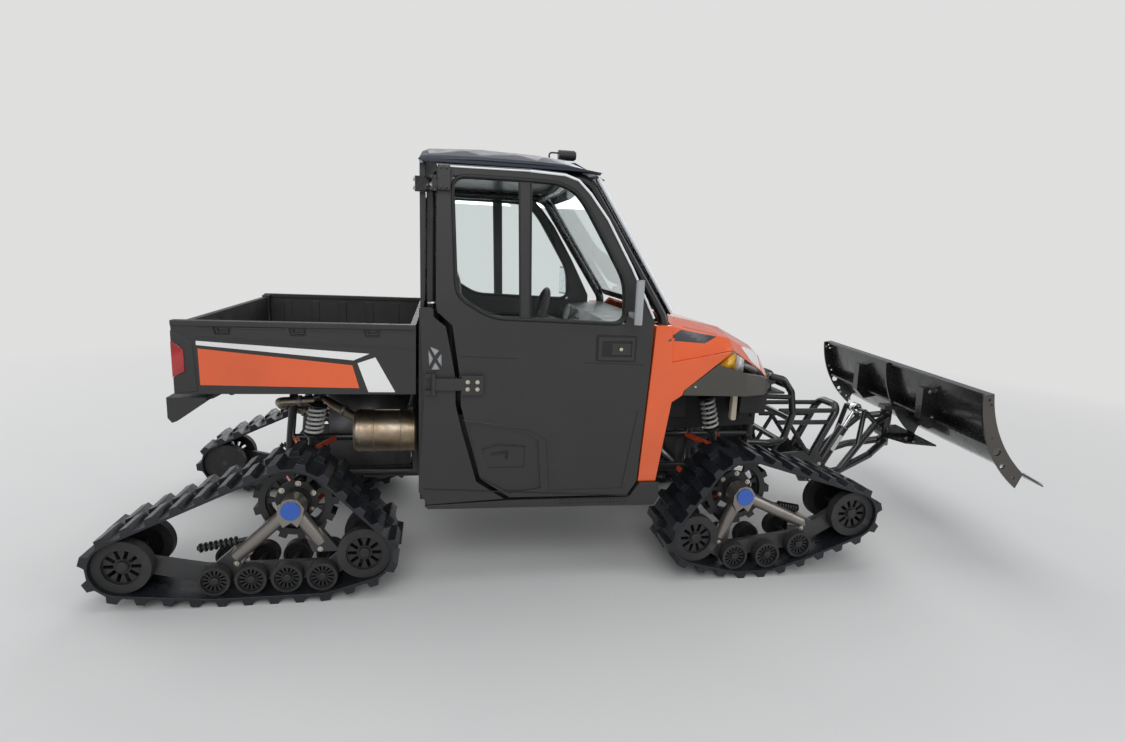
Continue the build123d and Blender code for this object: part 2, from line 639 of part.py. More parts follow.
with BuildPart() as winch:
    add_pin(WINCH_X, WINCH_Z, -95, 95, 30)
    for s in BOTH:
        add_pin(WINCH_X, WINCH_Z, s * 95, s * 175, 42)
    add_pin(WINCH_X, WINCH_Z, -175, -215, 34)
    tray_z = GUARD_BAR_Z + GUARD_BAR_R + SEAT
    tray_y = GUARD_Y - GUARD_R - SEAT
    add_box(WINCH_X - 42, WINCH_X + 70, -tray_y, tray_y, tray_z, tray_z + 12)
    for s in BOTH:
        add_box(WINCH_X - 36, WINCH_X + 36, s * 110, s * 160, tray_z + 12, WINCH_Z - 20)

with BuildPart() as radiator:
    add_box(2310, 2352, -174.7, 174.7, 440, 840)

with BuildPart() as plough_mount:
    for s in BOTH:
        add_slab(((2120, 345), (2700, 330), (2760, 225), (2950, 215), (2960, 265), (2860, 420), (2560, 400),
                  (2120, 395)), s, MOUNT_Y, MOUNT_Y + MOUNT_T)
        for start_x, start_z, end_x, end_z, r in (
            (2586, 664, 2952, 664, 14),
            (2575, 592, 2918, 592, 14),
            (2560, 395, 2668, 592, 12),
            (2652, 592, 2800, 398, 12),
        ):
            add_bar((start_x, s * 106, start_z), (end_x, s * 106, end_z), r)
    add_tube(((2820, 106, 380), (2970, 106, 690), (2970, -106, 690), (2820, -106, 380)), 22, 60)
    add_pin(LIFT_X, LIFT_Z, -LIFT_Y - 25, LIFT_Y + 25, LIFT_PIN_R)
    add_pin(CYL_X, CYL_Z, -MOUNT_Y - MOUNT_T, MOUNT_Y + MOUNT_T, 12)
    between_rails = CHASSIS_Y - RAIL_PIPE_R - SEAT
    for x, z, half in (
        (2180, CHASSIS_Z, between_rails),
        (2240, CHASSIS_Z, between_rails),
        (2640, 365, MOUNT_Y),
        (2850, 385, MOUNT_Y),
    ):
        add_pin(x, z, -half, half, 15)

# Power train and suspension
with BuildPart() as engine_block:
    add_box(60.3, 460, -CHASSIS_Y + ARM_RAIL_R + SEAT, CHASSIS_Y - ARM_RAIL_R - SEAT, 400, 785)

with BuildPart() as exhaust:
    add_bar((215, -400, 652), (511, -400, 652), 100)
    fillet(exhaust.edges().filter_by(GeomType.CIRCLE), 18)
    add_tube(((53.8, -120, 640), (-150, -120, 700), (-150, -290, 765), (60, -290, 775), (225, -370, 700)),
             22, 30)
    add_bar((363, -214.8, 570.8), (363, -320, 647), 8)

with BuildPart() as gearcases:
    add_box(-110, 60, -REAR_CASE_Y, REAR_CASE_Y, 304, 540)
    add_box(1960, 2150, -FRONT_CASE_Y, FRONT_CASE_Y, 304, 540)
    add_bar((60, 0, 328), (1960, 0, 328), 18)

with BuildPart() as half_shafts:
    for x, case_y in ((0, REAR_CASE_Y), (WHEELBASE, FRONT_CASE_Y)):
        for s in BOTH:
            add_pin(x, HUB_Z, s * (case_y + SEAT), s * (KINGPIN_Y - 7), SHAFT_R)
            add_pin(x, HUB_Z, s * (case_y + SEAT), s * (case_y + 48), 36)
            add_pin(x, HUB_Z, s * (KINGPIN_Y - 115), s * (KINGPIN_Y - 58), 36)

with BuildPart() as suspension_arms:
    for x in (0, WHEELBASE):
        for s in BOTH:
            for reach, z_in, z_out, y_in in (
                (130, CHASSIS_Z, KNUCKLE_LOW - 26, CHASSIS_Y + RAIL_PIPE_R + 8),
                (90, ARM_TOP_Z, KNUCKLE_HIGH + 17, CHASSIS_Y + ARM_RAIL_R + 8),
            ):
                for step in (-reach, reach):
                    add_bar((x + step, s * y_in, z_in), (x, s * KINGPIN_Y, z_out), 14)
            add_bar((x, s * KINGPIN_Y, KNUCKLE_LOW - 40), (x, s * KINGPIN_Y, KNUCKLE_LOW - SEAT), 22)
            add_bar((x, s * KINGPIN_Y, KNUCKLE_HIGH + SEAT), (x, s * KINGPIN_Y, KNUCKLE_HIGH + 34), 22)

with BuildPart() as shocks:
    for top_x, top_z, foot_x, foot_z in (
        (55, BED_RAIL_Z - CROSS_R - SEAT, 15, KNUCKLE_HIGH + 37),
        (1985, 860 - CROSS_R - SEAT, 2050, KNUCKLE_HIGH + 39),
    ):
        for s in BOTH:
            add_spring((foot_x, foot_z), (top_x, top_z - 4), s * 398, 19, 44, 7, 0.74)
            add_bar((top_x, s * 398, top_z - 12), (top_x, s * 398, top_z), 24)

with BuildPart() as rear_bumper:
    add_span(((-478, 834), (-478, 797), (-466, 776), (-436, 784), (-386, 812), (-386, 834)), 302)
    for s in BOTH:
        add_slab(((-482, 883), (-482, 797), (-466, 776), (-445, 784), (-332, 868), (-332, 883)), s, 302, 700)

with BuildPart() as hitch_receiver:
    add_box(HITCH_X - 22, HITCH_X + 117, -HITCH_HALF, HITCH_HALF, HITCH_Z - HITCH_HALF, HITCH_Z + HITCH_HALF)
    add_box(HITCH_X - 23, HITCH_X + 118, -25.5, 25.5, HITCH_Z - 25.5, HITCH_Z + 25.5, Mode.SUBTRACT)
    add_pin(HITCH_X, HITCH_Z, -HITCH_HALF - 1, HITCH_HALF + 1, 8, Mode.SUBTRACT)


# Doors, hinged at their rear edges
DOOR_OUTLINE = (
    (594, 1866), (977, 1868), (1127, 1861), (1186, 1843), (1242, 1790), (1325, 1686), (1446, 1484),
    (1566, 1256), (1562, 1023), (1532, 481), (1490, 414), (931, 417), (795, 511), (728, 758), (705, 850),
    (700, 971), (664, 1205), (600, 1262), (594, 1299),
)
WINDOW_OUTLINE = (
    (656, 1825), (942, 1825), (1105, 1821), (1180, 1790), (1232, 1729), (1329, 1572), (1423, 1415),
    (1435, 1226), (831, 1240), (679, 1330),
)
DIVIDER = ((936, 1829), (982, 1829), (998, 1233), (957, 1235))
# Sunk fields of a door's outer face: depth, outline
DOOR_FIELDS = (
    (7, ((733, 770), (1001, 727), (1054, 686), (1074, 458), (930, 438), (793, 513))),
    (11, ((801, 648), (868, 670), (998, 660), (995, 559), (831, 557))),
    (3, ((1112, 703), (1321, 801), (1473, 824), (1517, 822), (1461, 448), (1125, 446))),
    (3, ((697, 1073), (946, 1065), (946, 1061), (697, 1069))),
    (3, ((1249, 1052), (1530, 1043), (1530, 1039), (1249, 1048))),
)


def door_pieces(s):
    """The panel, the glass and the mirror of the door on side s."""
    inner, outer = BODY_HALF_W - DOOR_T, BODY_HALF_W
    with BuildPart() as panel:
        add_slab(DOOR_OUTLINE, s, inner, outer)
        add_slab(WINDOW_OUTLINE, s, inner - 1, outer + 1, Mode.SUBTRACT)
        add_slab(DIVIDER, s, DOOR_GLASS_Y - GLASS_T - 12, DOOR_GLASS_Y + 6)
        for depth, outline in DOOR_FIELDS:
            add_slab(outline, s, outer - depth, outer, Mode.SUBTRACT)
        for (z, leaf, ear), plate_x0, plate_x1, plate_z0, plate_z1 in (
            (LOW_HINGE, 706, 800, 904, 990),
            (TOP_HINGE, 598, 648, 1764, 1860),
        ):
            add_bar((HINGE_X, s * HINGE_Y, z - leaf), (HINGE_X, s * HINGE_Y, z + leaf), HINGE_R)
            add_box(HINGE_X, plate_x0, s * (outer + GAP), s * (HINGE_Y + 3), z - leaf, z + leaf)
            add_box(plate_x0, plate_x1, s * outer, s * (HINGE_Y + 3), plate_z0, plate_z1)
        add_box(1312, 1481, s * outer, s * (outer + 5), 1062, 1167)
        add_box(1328, 1468, s * (outer - 12), s * (outer + 5), 1078, 1150, Mode.SUBTRACT)
        add_box(1377, 1466, s * (outer - 12), s * (outer + 2), 1087, 1138)
    with BuildPart() as glass:
        add_slab(WINDOW_OUTLINE, s, DOOR_GLASS_Y - GLASS_T, DOOR_GLASS_Y)
        add_slab(DIVIDER, s, DOOR_GLASS_Y - GLASS_T, DOOR_GLASS_Y, Mode.SUBTRACT)
    with BuildPart() as mirror:
        add_box(1440, 1462, s * outer, s * (outer + 80), 1262, 1284)
        with BuildSketch(level(1247)):
            with Locations(Location((1449, s * (outer + 134)), s * MIRROR_TURN)):
                RectangleRounded(34, 148, 12)
        extrude(amount=182)
    return {"panel": panel, "glass": glass, "mirror": mirror}


# Bed, tailgate and lamps
with BuildPart() as bed_tub:
    add_box(BED_REAR, BED_FRONT, -BED_HALF_W, BED_HALF_W, BED_BOTTOM, BED_TOP)
    add_box(BED_REAR - 1, BED_FRONT - BED_WALL, -BED_HALF_W + BED_WALL, BED_HALF_W - BED_WALL,
            BED_BOTTOM + BED_FLOOR_T, BED_TOP + 1, Mode.SUBTRACT)
    add_box(BED_REAR - 1, -405, -TAILGATE_HALF_W - GAP, TAILGATE_HALF_W + GAP, BED_BOTTOM - 1, BED_TOP + 1,
            Mode.SUBTRACT)
    for s in BOTH:
        add_box(BED_REAR, -405, s * (TAILGATE_HALF_W + GAP), s * (BED_HALF_W - BED_WALL), BED_BOTTOM, BED_TOP)
        add_box(BED_REAR, BED_FRONT, s * (BED_HALF_W - BED_WALL - 6), s * (BED_HALF_W + 5), BED_TOP - 17,
                BED_TOP + 5)
        add_slab(((-443, 1162), (-366, 1113), (-356, 914), (-443, 906)), s, BED_HALF_W, BED_HALF_W + 5)
        add_slab(((-444, 1122), (-399, 1086), (-397, 996), (-444, 970)), s, BED_HALF_W - 8, BED_HALF_W + 6,
                 Mode.SUBTRACT)
        for x in POCKET_X:
            add_slab(((x - 36, 1179), (x + 36, 1179), (x + 30, 1146), (x - 28, 1146)), s, BED_HALF_W - 10,
                     BED_HALF_W, Mode.SUBTRACT)
        add_slab(((BED_PIVOT_X - 22, BED_PIVOT_Z - 12), (BED_PIVOT_X, BED_PIVOT_Z - 22),
                  (BED_PIVOT_X + 22, BED_PIVOT_Z - 12), (-370, BED_BOTTOM), (BED_PIVOT_X - 14, BED_BOTTOM)),
                 s, 254, 278)
        add_pin(BED_PIVOT_X, BED_PIVOT_Z, s * 253, s * 279, BED_PIN_R + SEAT, Mode.SUBTRACT)

with BuildPart() as tail_lamps:
    for s in BOTH:
        add_slab(((-443, 1120), (-400, 1085), (-398, 997), (-443, 972)), s, BED_HALF_W - 7.5, BED_HALF_W + 9)

with BuildPart() as tailgate:
    add_box(BED_REAR, BED_REAR + TAILGATE_T, -TAILGATE_HALF_W, TAILGATE_HALF_W, TAILGATE_PIN_Z, 1186)
    add_pin(BED_REAR + TAILGATE_T / 2, TAILGATE_PIN_Z, -TAILGATE_HALF_W - GAP, TAILGATE_HALF_W + GAP,
            TAILGATE_T / 2)
    add_box(BED_REAR, BED_REAR + 7, -560, 560, 985, 1132, Mode.SUBTRACT)
    add_box(BED_REAR - 5, BED_REAR, -75, 75, 1146, 1174)

# Plough: push frame, lift cylinder and blade
with BuildPart() as push_frame:
    for s in BOTH:
        add_pin(LIFT_X, LIFT_Z, s * (LIFT_Y - 16), s * (LIFT_Y + 16), 32)
        for start, end, r in (
            ((LIFT_X, LIFT_Y, LIFT_Z), (2985, LIFT_Y, 300), 24),
            ((2985, LIFT_Y, 300), (3205, 116, 385), 22),
            ((3205, 116, 385), (SWIVEL_X - 10, 24, 440), 22),
            ((2985, LIFT_Y, 300), (3252, 84, 577), 20),
            ((3252, 84, 577), (SWIVEL_X - 12, 24, 608), 20),
            ((3120, 117, 440), (ROD_EYE_X, 90, ROD_EYE_Z), 15),
            ((ROD_EYE_X, 90, ROD_EYE_Z), (3252, 84, 577), 15),
        ):
            add_bar((start[0], s * start[1], start[2]), (end[0], s * end[1], end[2]), r)
        add_pin(LIFT_X, LIFT_Z, s * (LIFT_Y - 26), s * (LIFT_Y + 26), LIFT_PIN_R + SEAT, Mode.SUBTRACT)
    add_pin(ROD_EYE_X, ROD_EYE_Z, -90, 90, 10)
    add_bar((SWIVEL_X, 0, 530), (SWIVEL_X, 0, 640), 34)
    add_bar((SWIVEL_X, 0, 416), (SWIVEL_X, 0, 464), 34)
    add_bar((SWIVEL_X, 0, 416), (SWIVEL_X, 0, 675), 16)

cyl_run = Vector(ROD_EYE_X - CYL_X, 0, ROD_EYE_Z - CYL_Z)
cyl_dir = cyl_run.normalized()


def on_cylinder(length):
    """Point of the lift cylinder's line at the given length from its lower pin."""
    return (CYL_X + cyl_dir.X * length, 0, CYL_Z + cyl_dir.Z * length)


with BuildPart() as lift_barrel:
    add_pin(CYL_X, CYL_Z, -22, 22, 26)
    add_bar(on_cylinder(20), on_cylinder(330), 32)
    add_pin(CYL_X, CYL_Z, -23, 23, 12 + SEAT, Mode.SUBTRACT)
    add_bar(on_cylinder(60), on_cylinder(331), 13 + SEAT, Mode.SUBTRACT)

with BuildPart() as lift_rod:
    add_bar(on_cylinder(ROD_START), on_cylinder(cyl_run.length - 20), 13)
    add_pin(ROD_EYE_X, ROD_EYE_Z, -18, 18, 30)
    add_pin(ROD_EYE_X, ROD_EYE_Z, -19, 19, 19, Mode.SUBTRACT)

blade_axis = Axis(at(SWIVEL_X, 0, 0), (0, 0, 1))

with BuildPart() as blade:
    with BuildSketch(side(0)) as sheet:
        with BuildLine():
            ThreePointArc((3387, 951), (3450, 742), (3600, 552))
            Line((3600, 552), (3713, 495))
            Line((3713, 495), (3710, 489))
            Line((3710, 489), (3594, 547))
            ThreePointArc((3594, 547), (3443, 740), (3380, 949))
            Line((3380, 949), (3387, 951))
        make_face()
    extrude(sheet.sketch, amount=BLADE_HALF_W, both=True)
    for y in (-BLADE_HALF_W, -6, BLADE_HALF_W - 12):
        with BuildSketch(side(y + 12)) as rib:
            with BuildLine():
                ThreePointArc((3383, 950), (3446, 741), (3597, 549))
                Line((3597, 549), (3570, 478))
                ThreePointArc((3570, 478), (3392, 705), (3334, 941))
                Line((3334, 941), (3383, 950))
            make_face()
        extrude(rib.sketch, amount=12)
    for s in BOTH:
        for x, z, r in RIB_HOLES:
            add_pin(x, z, s * (BLADE_HALF_W - 12), s * BLADE_HALF_W, r, Mode.SUBTRACT)
        add_slab(((3345, 868), (3396, 868), (3446, 742), (3492, 655), (3405, 633), (3350, 690)), s, 350, 410)
    add_span(((3352, 944), (3384, 950), (3383, 938), (3354, 932)), BLADE_HALF_W)
    add_span(((3408, 700), (3408, 688), (3474, 680), (3466, 700)), BLADE_HALF_W)
    with BuildSketch(level(478)) as quadrant:
        with BuildLine():
            Polyline((3346, -46), (3420, -190), (3585, -230), (3585, 230), (3420, 190), (3346, 46),
                     close=True)
        make_face()
    extrude(quadrant.sketch, amount=10)
    for z in (478, 650):
        add_box(SWIVEL_X - 34, 3480 if z > 600 else 3560, -40, 40, z, z + 25)
    for z in (478, 650):
        add_bar((SWIVEL_X, 0, z - 1), (SWIVEL_X, 0, z + 26), 16 + SEAT, Mode.SUBTRACT)

pieces = {
    "chassis_frame": chassis_frame,
    "floor_tub": floor_tub,
    "rocker_sills": rocker_sills,
    "cab_frame": cab_frame,
    "cab_rear_wall": cab_rear_wall,
    "rear_glass": rear_glass,
    "quarter_panels": quarter_panels,
    "roof": roof,
    "roof_lamp": roof_lamp,
    "windshield": windshield,
    "dashboard": dashboard,
    "seat_cushion": seat_cushion,
    "seat_back": seat_back,
    "steering_wheel": steering_wheel,
    "hood": hood,
    "side_cowls": side_cowls,
    "front_fascia": front_fascia,
    "headlamps": headlamps,
    "grille_guard": grille_guard,
    "winch": winch,
    "radiator": radiator,
    "plough_mount": plough_mount,
    "engine_block": engine_block,
    "exhaust": exhaust,
    "gearcases": gearcases,
    "half_shafts": half_shafts,
    "suspension_arms": suspension_arms,
    "shocks": shocks,
    "rear_bumper": rear_bumper,
    "hitch_receiver": hitch_receiver,
    "rear_track_belts": rear_track_belts,
    "rear_track_wheels": rear_track_wheels,
    "rear_track_frames": rear_track_frames,
    "rear_sprockets": rear_sprockets,
    "rear_knuckles": rear_knuckles,
    "bed_tub": bed_tub,
    "tail_lamps": tail_lamps,
    "tailgate": tailgate,
    "push_frame": push_frame,
    "lift_barrel": lift_barrel,
    "lift_rod": lift_rod,
}
for s, hand in ((RIGHT, "right"), (LEFT, "left")):
    for name, piece in front_unit(s).items():
        pieces[f"front_{name}_{hand}"] = piece
    for name, piece in door_pieces(s).items():
        pieces[f"door_{name}_{hand}"] = piece

os.makedirs("parts", exist_ok=True)
for name, piece in pieces.items():
    piece.part.label = name
    export_step(piece.part, f"parts/{name}.step")

blade.part = blade.part.rotate(blade_axis, BLADE_ANGLE)
blade.part.label = "blade"
export_step(blade.part, "parts/blade.step")
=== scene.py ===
import math
import bpy
import bmesh
from mathutils import Matrix, Vector
from mathutils.bvhtree import BVHTree


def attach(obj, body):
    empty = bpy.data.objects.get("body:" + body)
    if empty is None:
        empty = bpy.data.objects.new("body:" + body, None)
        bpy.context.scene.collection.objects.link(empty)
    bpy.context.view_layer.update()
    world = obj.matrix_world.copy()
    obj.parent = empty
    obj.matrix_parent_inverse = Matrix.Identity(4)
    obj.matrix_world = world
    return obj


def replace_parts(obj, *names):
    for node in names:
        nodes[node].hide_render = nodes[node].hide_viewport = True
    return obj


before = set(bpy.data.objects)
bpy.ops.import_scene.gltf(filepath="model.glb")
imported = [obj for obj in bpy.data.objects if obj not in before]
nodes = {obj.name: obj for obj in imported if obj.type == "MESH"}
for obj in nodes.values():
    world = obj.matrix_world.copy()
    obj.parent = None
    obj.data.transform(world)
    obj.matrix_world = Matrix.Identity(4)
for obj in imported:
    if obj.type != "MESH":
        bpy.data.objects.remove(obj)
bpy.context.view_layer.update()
scene = bpy.context.scene

# Places are in millimetres from the rear axle line on the ground, as on the vehicle's drawing.
REAR_AXLE_X = -1.520
MM = 0.001
RIGHT, LEFT = -1, 1
BOTH = (RIGHT, LEFT)
HANDS = {RIGHT: "right", LEFT: "left"}
OUT = (0, 1, 0)
BACK = (-1, 0, 0)


def place(x, y, z):
    """Point in metres from a place in millimetres."""
    return Vector((REAR_AXLE_X + x * MM, y * MM, z * MM))


def turn_about(pivot, angle):
    """A turn about the upright line through a point."""
    return Matrix.Translation(pivot) @ Matrix.Rotation(angle, 4, "Z") @ Matrix.Translation(-pivot)


# Camera at the photograph's viewpoint
PHOTO_W = 1125
FOCAL_PX = 641.43
SENSOR = 36.0
CAMERA_AT = Vector((-0.8997, -3.4891, 1.5472))
CAMERA_YAW, CAMERA_PITCH, CAMERA_ROLL = 0.1896, -0.1879, 0.0442


def make_camera():
    """The camera of the photograph."""
    data = bpy.data.cameras.new("camera")
    data.sensor_width = SENSOR
    data.lens = FOCAL_PX / PHOTO_W * SENSOR
    data.clip_start = 0.02
    data.clip_end = 100.0
    camera = bpy.data.objects.new("camera", data)
    camera.matrix_world = (Matrix.Translation(CAMERA_AT) @ Matrix.Rotation(-CAMERA_YAW, 4, "Z")
                           @ Matrix.Rotation(math.pi / 2 + CAMERA_PITCH, 4, "X")
                           @ Matrix.Rotation(CAMERA_ROLL, 4, "Z"))
    scene.collection.objects.link(camera)
    scene.camera = camera


# Nodes of a shader
def add_node(tree, kind, **values):
    """A node of that kind, with its named inputs set or linked."""
    made = tree.nodes.new(kind)
    for key, value in values.items():
        socket = made.inputs[key.replace("_", " ")]
        if isinstance(value, bpy.types.NodeSocket):
            tree.links.new(value, socket)
        else:
            socket.default_value = value
    return made


def add_math(tree, operation, first, second):
    """The result of a math operation on two values."""
    made = tree.nodes.new("ShaderNodeMath")
    made.operation = operation
    tree.links.new(first, made.inputs[0])
    tree.links.new(second, made.inputs[1])
    return made.outputs[0]


def seen_by(tree, first, *others):
    """One where any of the named kinds of ray sees the surface."""
    path = tree.nodes.new("ShaderNodeLightPath")
    value = path.outputs[first]
    for ray in others:
        value = add_math(tree, "MAXIMUM", value, path.outputs[ray])
    return value


def blend(tree, share, first, second, output):
    """Joins two shaders at the output, with that share of the second."""
    mix = add_node(tree, "ShaderNodeMixShader", Fac=share)
    tree.links.new(first.outputs[0], mix.inputs[1])
    tree.links.new(second.outputs[0], mix.inputs[2])
    tree.links.new(mix.outputs[0], tree.nodes[output].inputs["Surface"])


def shade(colour, gain, lift=0.0):
    """A lighter or darker version of a colour."""
    return tuple(c * gain + lift for c in colour)


class Finish:
    """A node material with one Principled shader and short ways to add detail to it."""

    def __init__(self, name, colour, rough, metal=0.0, coat=0.0, specular=0.5):
        self.material = bpy.data.materials.new(name)
        self.material.use_nodes = True
        self.tree = self.material.node_tree
        self.shader = self.tree.nodes["Principled BSDF"]
        self.colour = (*colour, 1.0)
        self.rough = rough
        self.set("Base Color", self.colour)
        self.set("Roughness", rough)
        self.set("Metallic", metal)
        self.set("Coat Weight", coat)
        self.set("Coat Roughness", 0.08)
        self.set("Specular IOR Level", specular)
        self.normal = None

    def set(self, socket, value):
        """Sets an input of the shader."""
        self.shader.inputs[socket].default_value = value

    def link(self, output, socket):
        """Links an input of the shader."""
        self.tree.links.new(output, self.shader.inputs[socket])

    def place(self):
        """The surface's own coordinates in metres, which move with its piece."""
        return add_node(self.tree, "ShaderNodeTexCoord").outputs["Object"]

    def noise(self, scale, detail=3.0, rough=0.55, stretch=None):
        """A noise value from 0 to 1 with that many waves a metre."""
        vector = self.place()
        if stretch:
            vector = add_node(self.tree, "ShaderNodeMapping", Vector=vector, Scale=stretch).outputs["Vector"]
        made = add_node(self.tree, "ShaderNodeTexNoise", Vector=vector, Scale=scale, Detail=detail,
                        Roughness=rough)
        return made.outputs["Fac"]

    def cells(self, scale, feature="F1"):
        """Distance to the nearest point or edge of a cell pattern."""
        made = add_node(self.tree, "ShaderNodeTexVoronoi", Vector=self.place(), Scale=scale)
        made.feature = feature
        return made.outputs["Distance"]

    def ramp(self, value, low, high, first, last):
        """A value mapped from low..high to first..last."""
        made = add_node(self.tree, "ShaderNodeMapRange", Value=value, From_Min=low, From_Max=high,
                        To_Min=first, To_Max=last)
        return made.outputs["Result"]

    def tint(self, value, other, low=0.35, high=0.75, amount=1.0):
        """Blends the colour to another one where value is high."""
        mix = self.tree.nodes.new("ShaderNodeMix")
        mix.data_type = "RGBA"
        self.tree.links.new(self.ramp(value, low, high, 0.0, amount), mix.inputs["Factor"])
        base = self.shader.inputs["Base Color"]
        if base.is_linked:
            self.tree.links.new(base.links[0].from_socket, mix.inputs[6])
        else:
            mix.inputs[6].default_value = self.colour
        mix.inputs[7].default_value = (*other, 1.0)
        self.link(mix.outputs[2], "Base Color")

    def vary_rough(self, value, spread, low=0.3, high=0.7):
        """Roughness that wanders around its level."""
        self.link(self.ramp(value, low, high, self.rough - spread, self.rough + spread), "Roughness")

    def bump(self, value, height, strength=1.0):
        """Relief of that height in metres."""
        made = add_node(self.tree, "ShaderNodeBump", Height=value, Distance=height, Strength=strength)
        if self.normal is not None:
            self.tree.links.new(self.normal, made.inputs["Normal"])
        self.normal = made.outputs["Normal"]
        self.link(self.normal, "Normal")

    def worn(self, other, amount):
        """Lighter or darker along sharp edges, from the surface's pointiness."""
        point = add_node(self.tree, "ShaderNodeNewGeometry").outputs["Pointiness"]
        self.tint(point, other, 0.52, 0.60, amount)


# Materials
def moulded(name, colour, rough=0.5, grain=0.00025):
    """Grained moulded plastic with a little scuffing."""
    f = Finish(name, colour, rough)
    light = shade(colour, 1.3, 0.004)
    f.tint(f.noise(3.5, 4.0), light, 0.45, 0.85, 0.55)
    f.tint(f.noise(60.0, 5.0, stretch=(0.3, 1, 2.5)), light, 0.62, 0.80, 0.35)
    f.vary_rough(f.noise(9.0, 4.0), 0.08)
    f.bump(f.cells(900.0), grain, 0.5)
    f.bump(f.noise(14.0, 2.0), 0.0006, 0.3)
    return f.material


def gloss(name, colour, rough=0.2, coat=0.6, peel=0.00012):
    """Smooth moulded or painted surface with a faint orange peel."""
    f = Finish(name, colour, rough, coat=coat)
    f.tint(f.noise(2.6, 3.0), shade(colour, 0.72), 0.40, 0.80, 0.6)
    f.vary_rough(f.noise(24.0, 4.0), 0.05)
    f.bump(f.noise(260.0, 2.0), peel, 0.5)
    return f.material


def coated(name, colour, rough=0.36, chips=(0.10, 0.095, 0.09)):
    """Powder coat with small chips and dust."""
    f = Finish(name, colour, rough, coat=0.25)
    f.tint(f.noise(7.0, 5.0), shade(colour, 1.5, 0.004), 0.48, 0.85, 0.5)
    f.tint(f.noise(260.0, 2.0), chips, 0.76, 0.80, 0.6)
    f.vary_rough(f.noise(16.0, 4.0), 0.10)
    f.bump(f.noise(420.0, 3.0), 0.0002, 0.45)
    return f.material


def rubber(name, colour, dust, rough=0.72):
    """Moulded rubber with dry dust in its grain."""
    f = Finish(name, colour, rough, specular=0.45)
    f.tint(f.noise(8.0, 6.0, 0.65), dust, 0.46, 0.78, 0.55)
    f.tint(f.noise(120.0, 4.0), dust, 0.60, 0.80, 0.45)
    f.worn(shade(dust, 1.4), 0.45)
    f.vary_rough(f.noise(30.0, 4.0), 0.10)
    f.bump(f.noise(330.0, 4.0), 0.0005, 0.6)
    return f.material


def flake_metal(name, colour, rough=0.38, metal=0.75):
    """Metallic paint with fine flakes."""
    f = Finish(name, colour, rough, metal=metal, coat=0.2)
    f.tint(f.cells(1400.0), shade(colour, 1.7), 0.35, 0.9, 0.5)
    f.tint(f.noise(6.0, 5.0), shade(colour, 0.55), 0.5, 0.85, 0.6)
    f.vary_rough(f.noise(20.0, 4.0), 0.08)
    f.bump(f.noise(300.0, 3.0), 0.0002, 0.4)
    return f.material


def bare_metal(name, colour, rough=0.32, stain=None):
    """Zinc, steel or chrome with a light tarnish."""
    f = Finish(name, colour, rough, metal=1.0)
    f.tint(f.noise(35.0, 5.0), shade(colour, 0.6), 0.45, 0.8, 0.6)
    if stain:
        f.tint(f.noise(4.5, 4.0, stretch=(1.0, 1.0, 1.6)), stain, 0.42, 0.66, 0.75)
    f.vary_rough(f.noise(50.0, 4.0), 0.07)
    f.bump(f.noise(500.0, 3.0), 0.00012, 0.4)
    return f.material


def cast_metal(name, colour, rough=0.6, metal=0.5):
    """Rough sand casting."""
    f = Finish(name, colour, rough, metal=metal)
    f.tint(f.noise(11.0, 6.0), shade(colour, 0.5), 0.42, 0.75, 0.8)
    f.bump(f.noise(160.0, 6.0, 0.7), 0.0007, 0.7)
    return f.material


def vinyl(name, colour):
    """Seat vinyl with a pebbled grain."""
    f = Finish(name, colour, 0.48)
    f.tint(f.noise(5.0, 4.0), shade(colour, 1.6, 0.01), 0.45, 0.85, 0.5)
    f.bump(f.cells(420.0, "DISTANCE_TO_EDGE"), 0.0005, 0.5)
    return f.material


def glass(name, colour, rough=0.01):
    """Thin clear sheet: the lamps' light passes it without bending."""
    f = Finish(name, colour, rough)
    f.set("Transmission Weight", 1.0)
    f.set("IOR", 1.12)
    clear = add_node(f.tree, "ShaderNodeBsdfTransparent", Color=(*shade(colour, 0.45, 0.55), 1.0))
    blend(f.tree, seen_by(f.tree, "Is Shadow Ray"), f.shader, clear, "Material Output")
    f.vary_rough(f.noise(12.0, 3.0), 0.008)
    return f.material


def lens(name, colour, rough=0.12):
    """Coloured lamp lens with fine flutes."""
    f = Finish(name, colour, rough, coat=0.8)
    f.set("Transmission Weight", 0.25)
    f.tint(f.noise(30.0, 3.0), shade(colour, 0.5), 0.4, 0.8, 0.6)
    wave = add_node(f.tree, "ShaderNodeTexWave", Vector=f.place(), Scale=38.0)
    f.bump(wave.outputs["Fac"], 0.0006, 0.5)
    return f.material


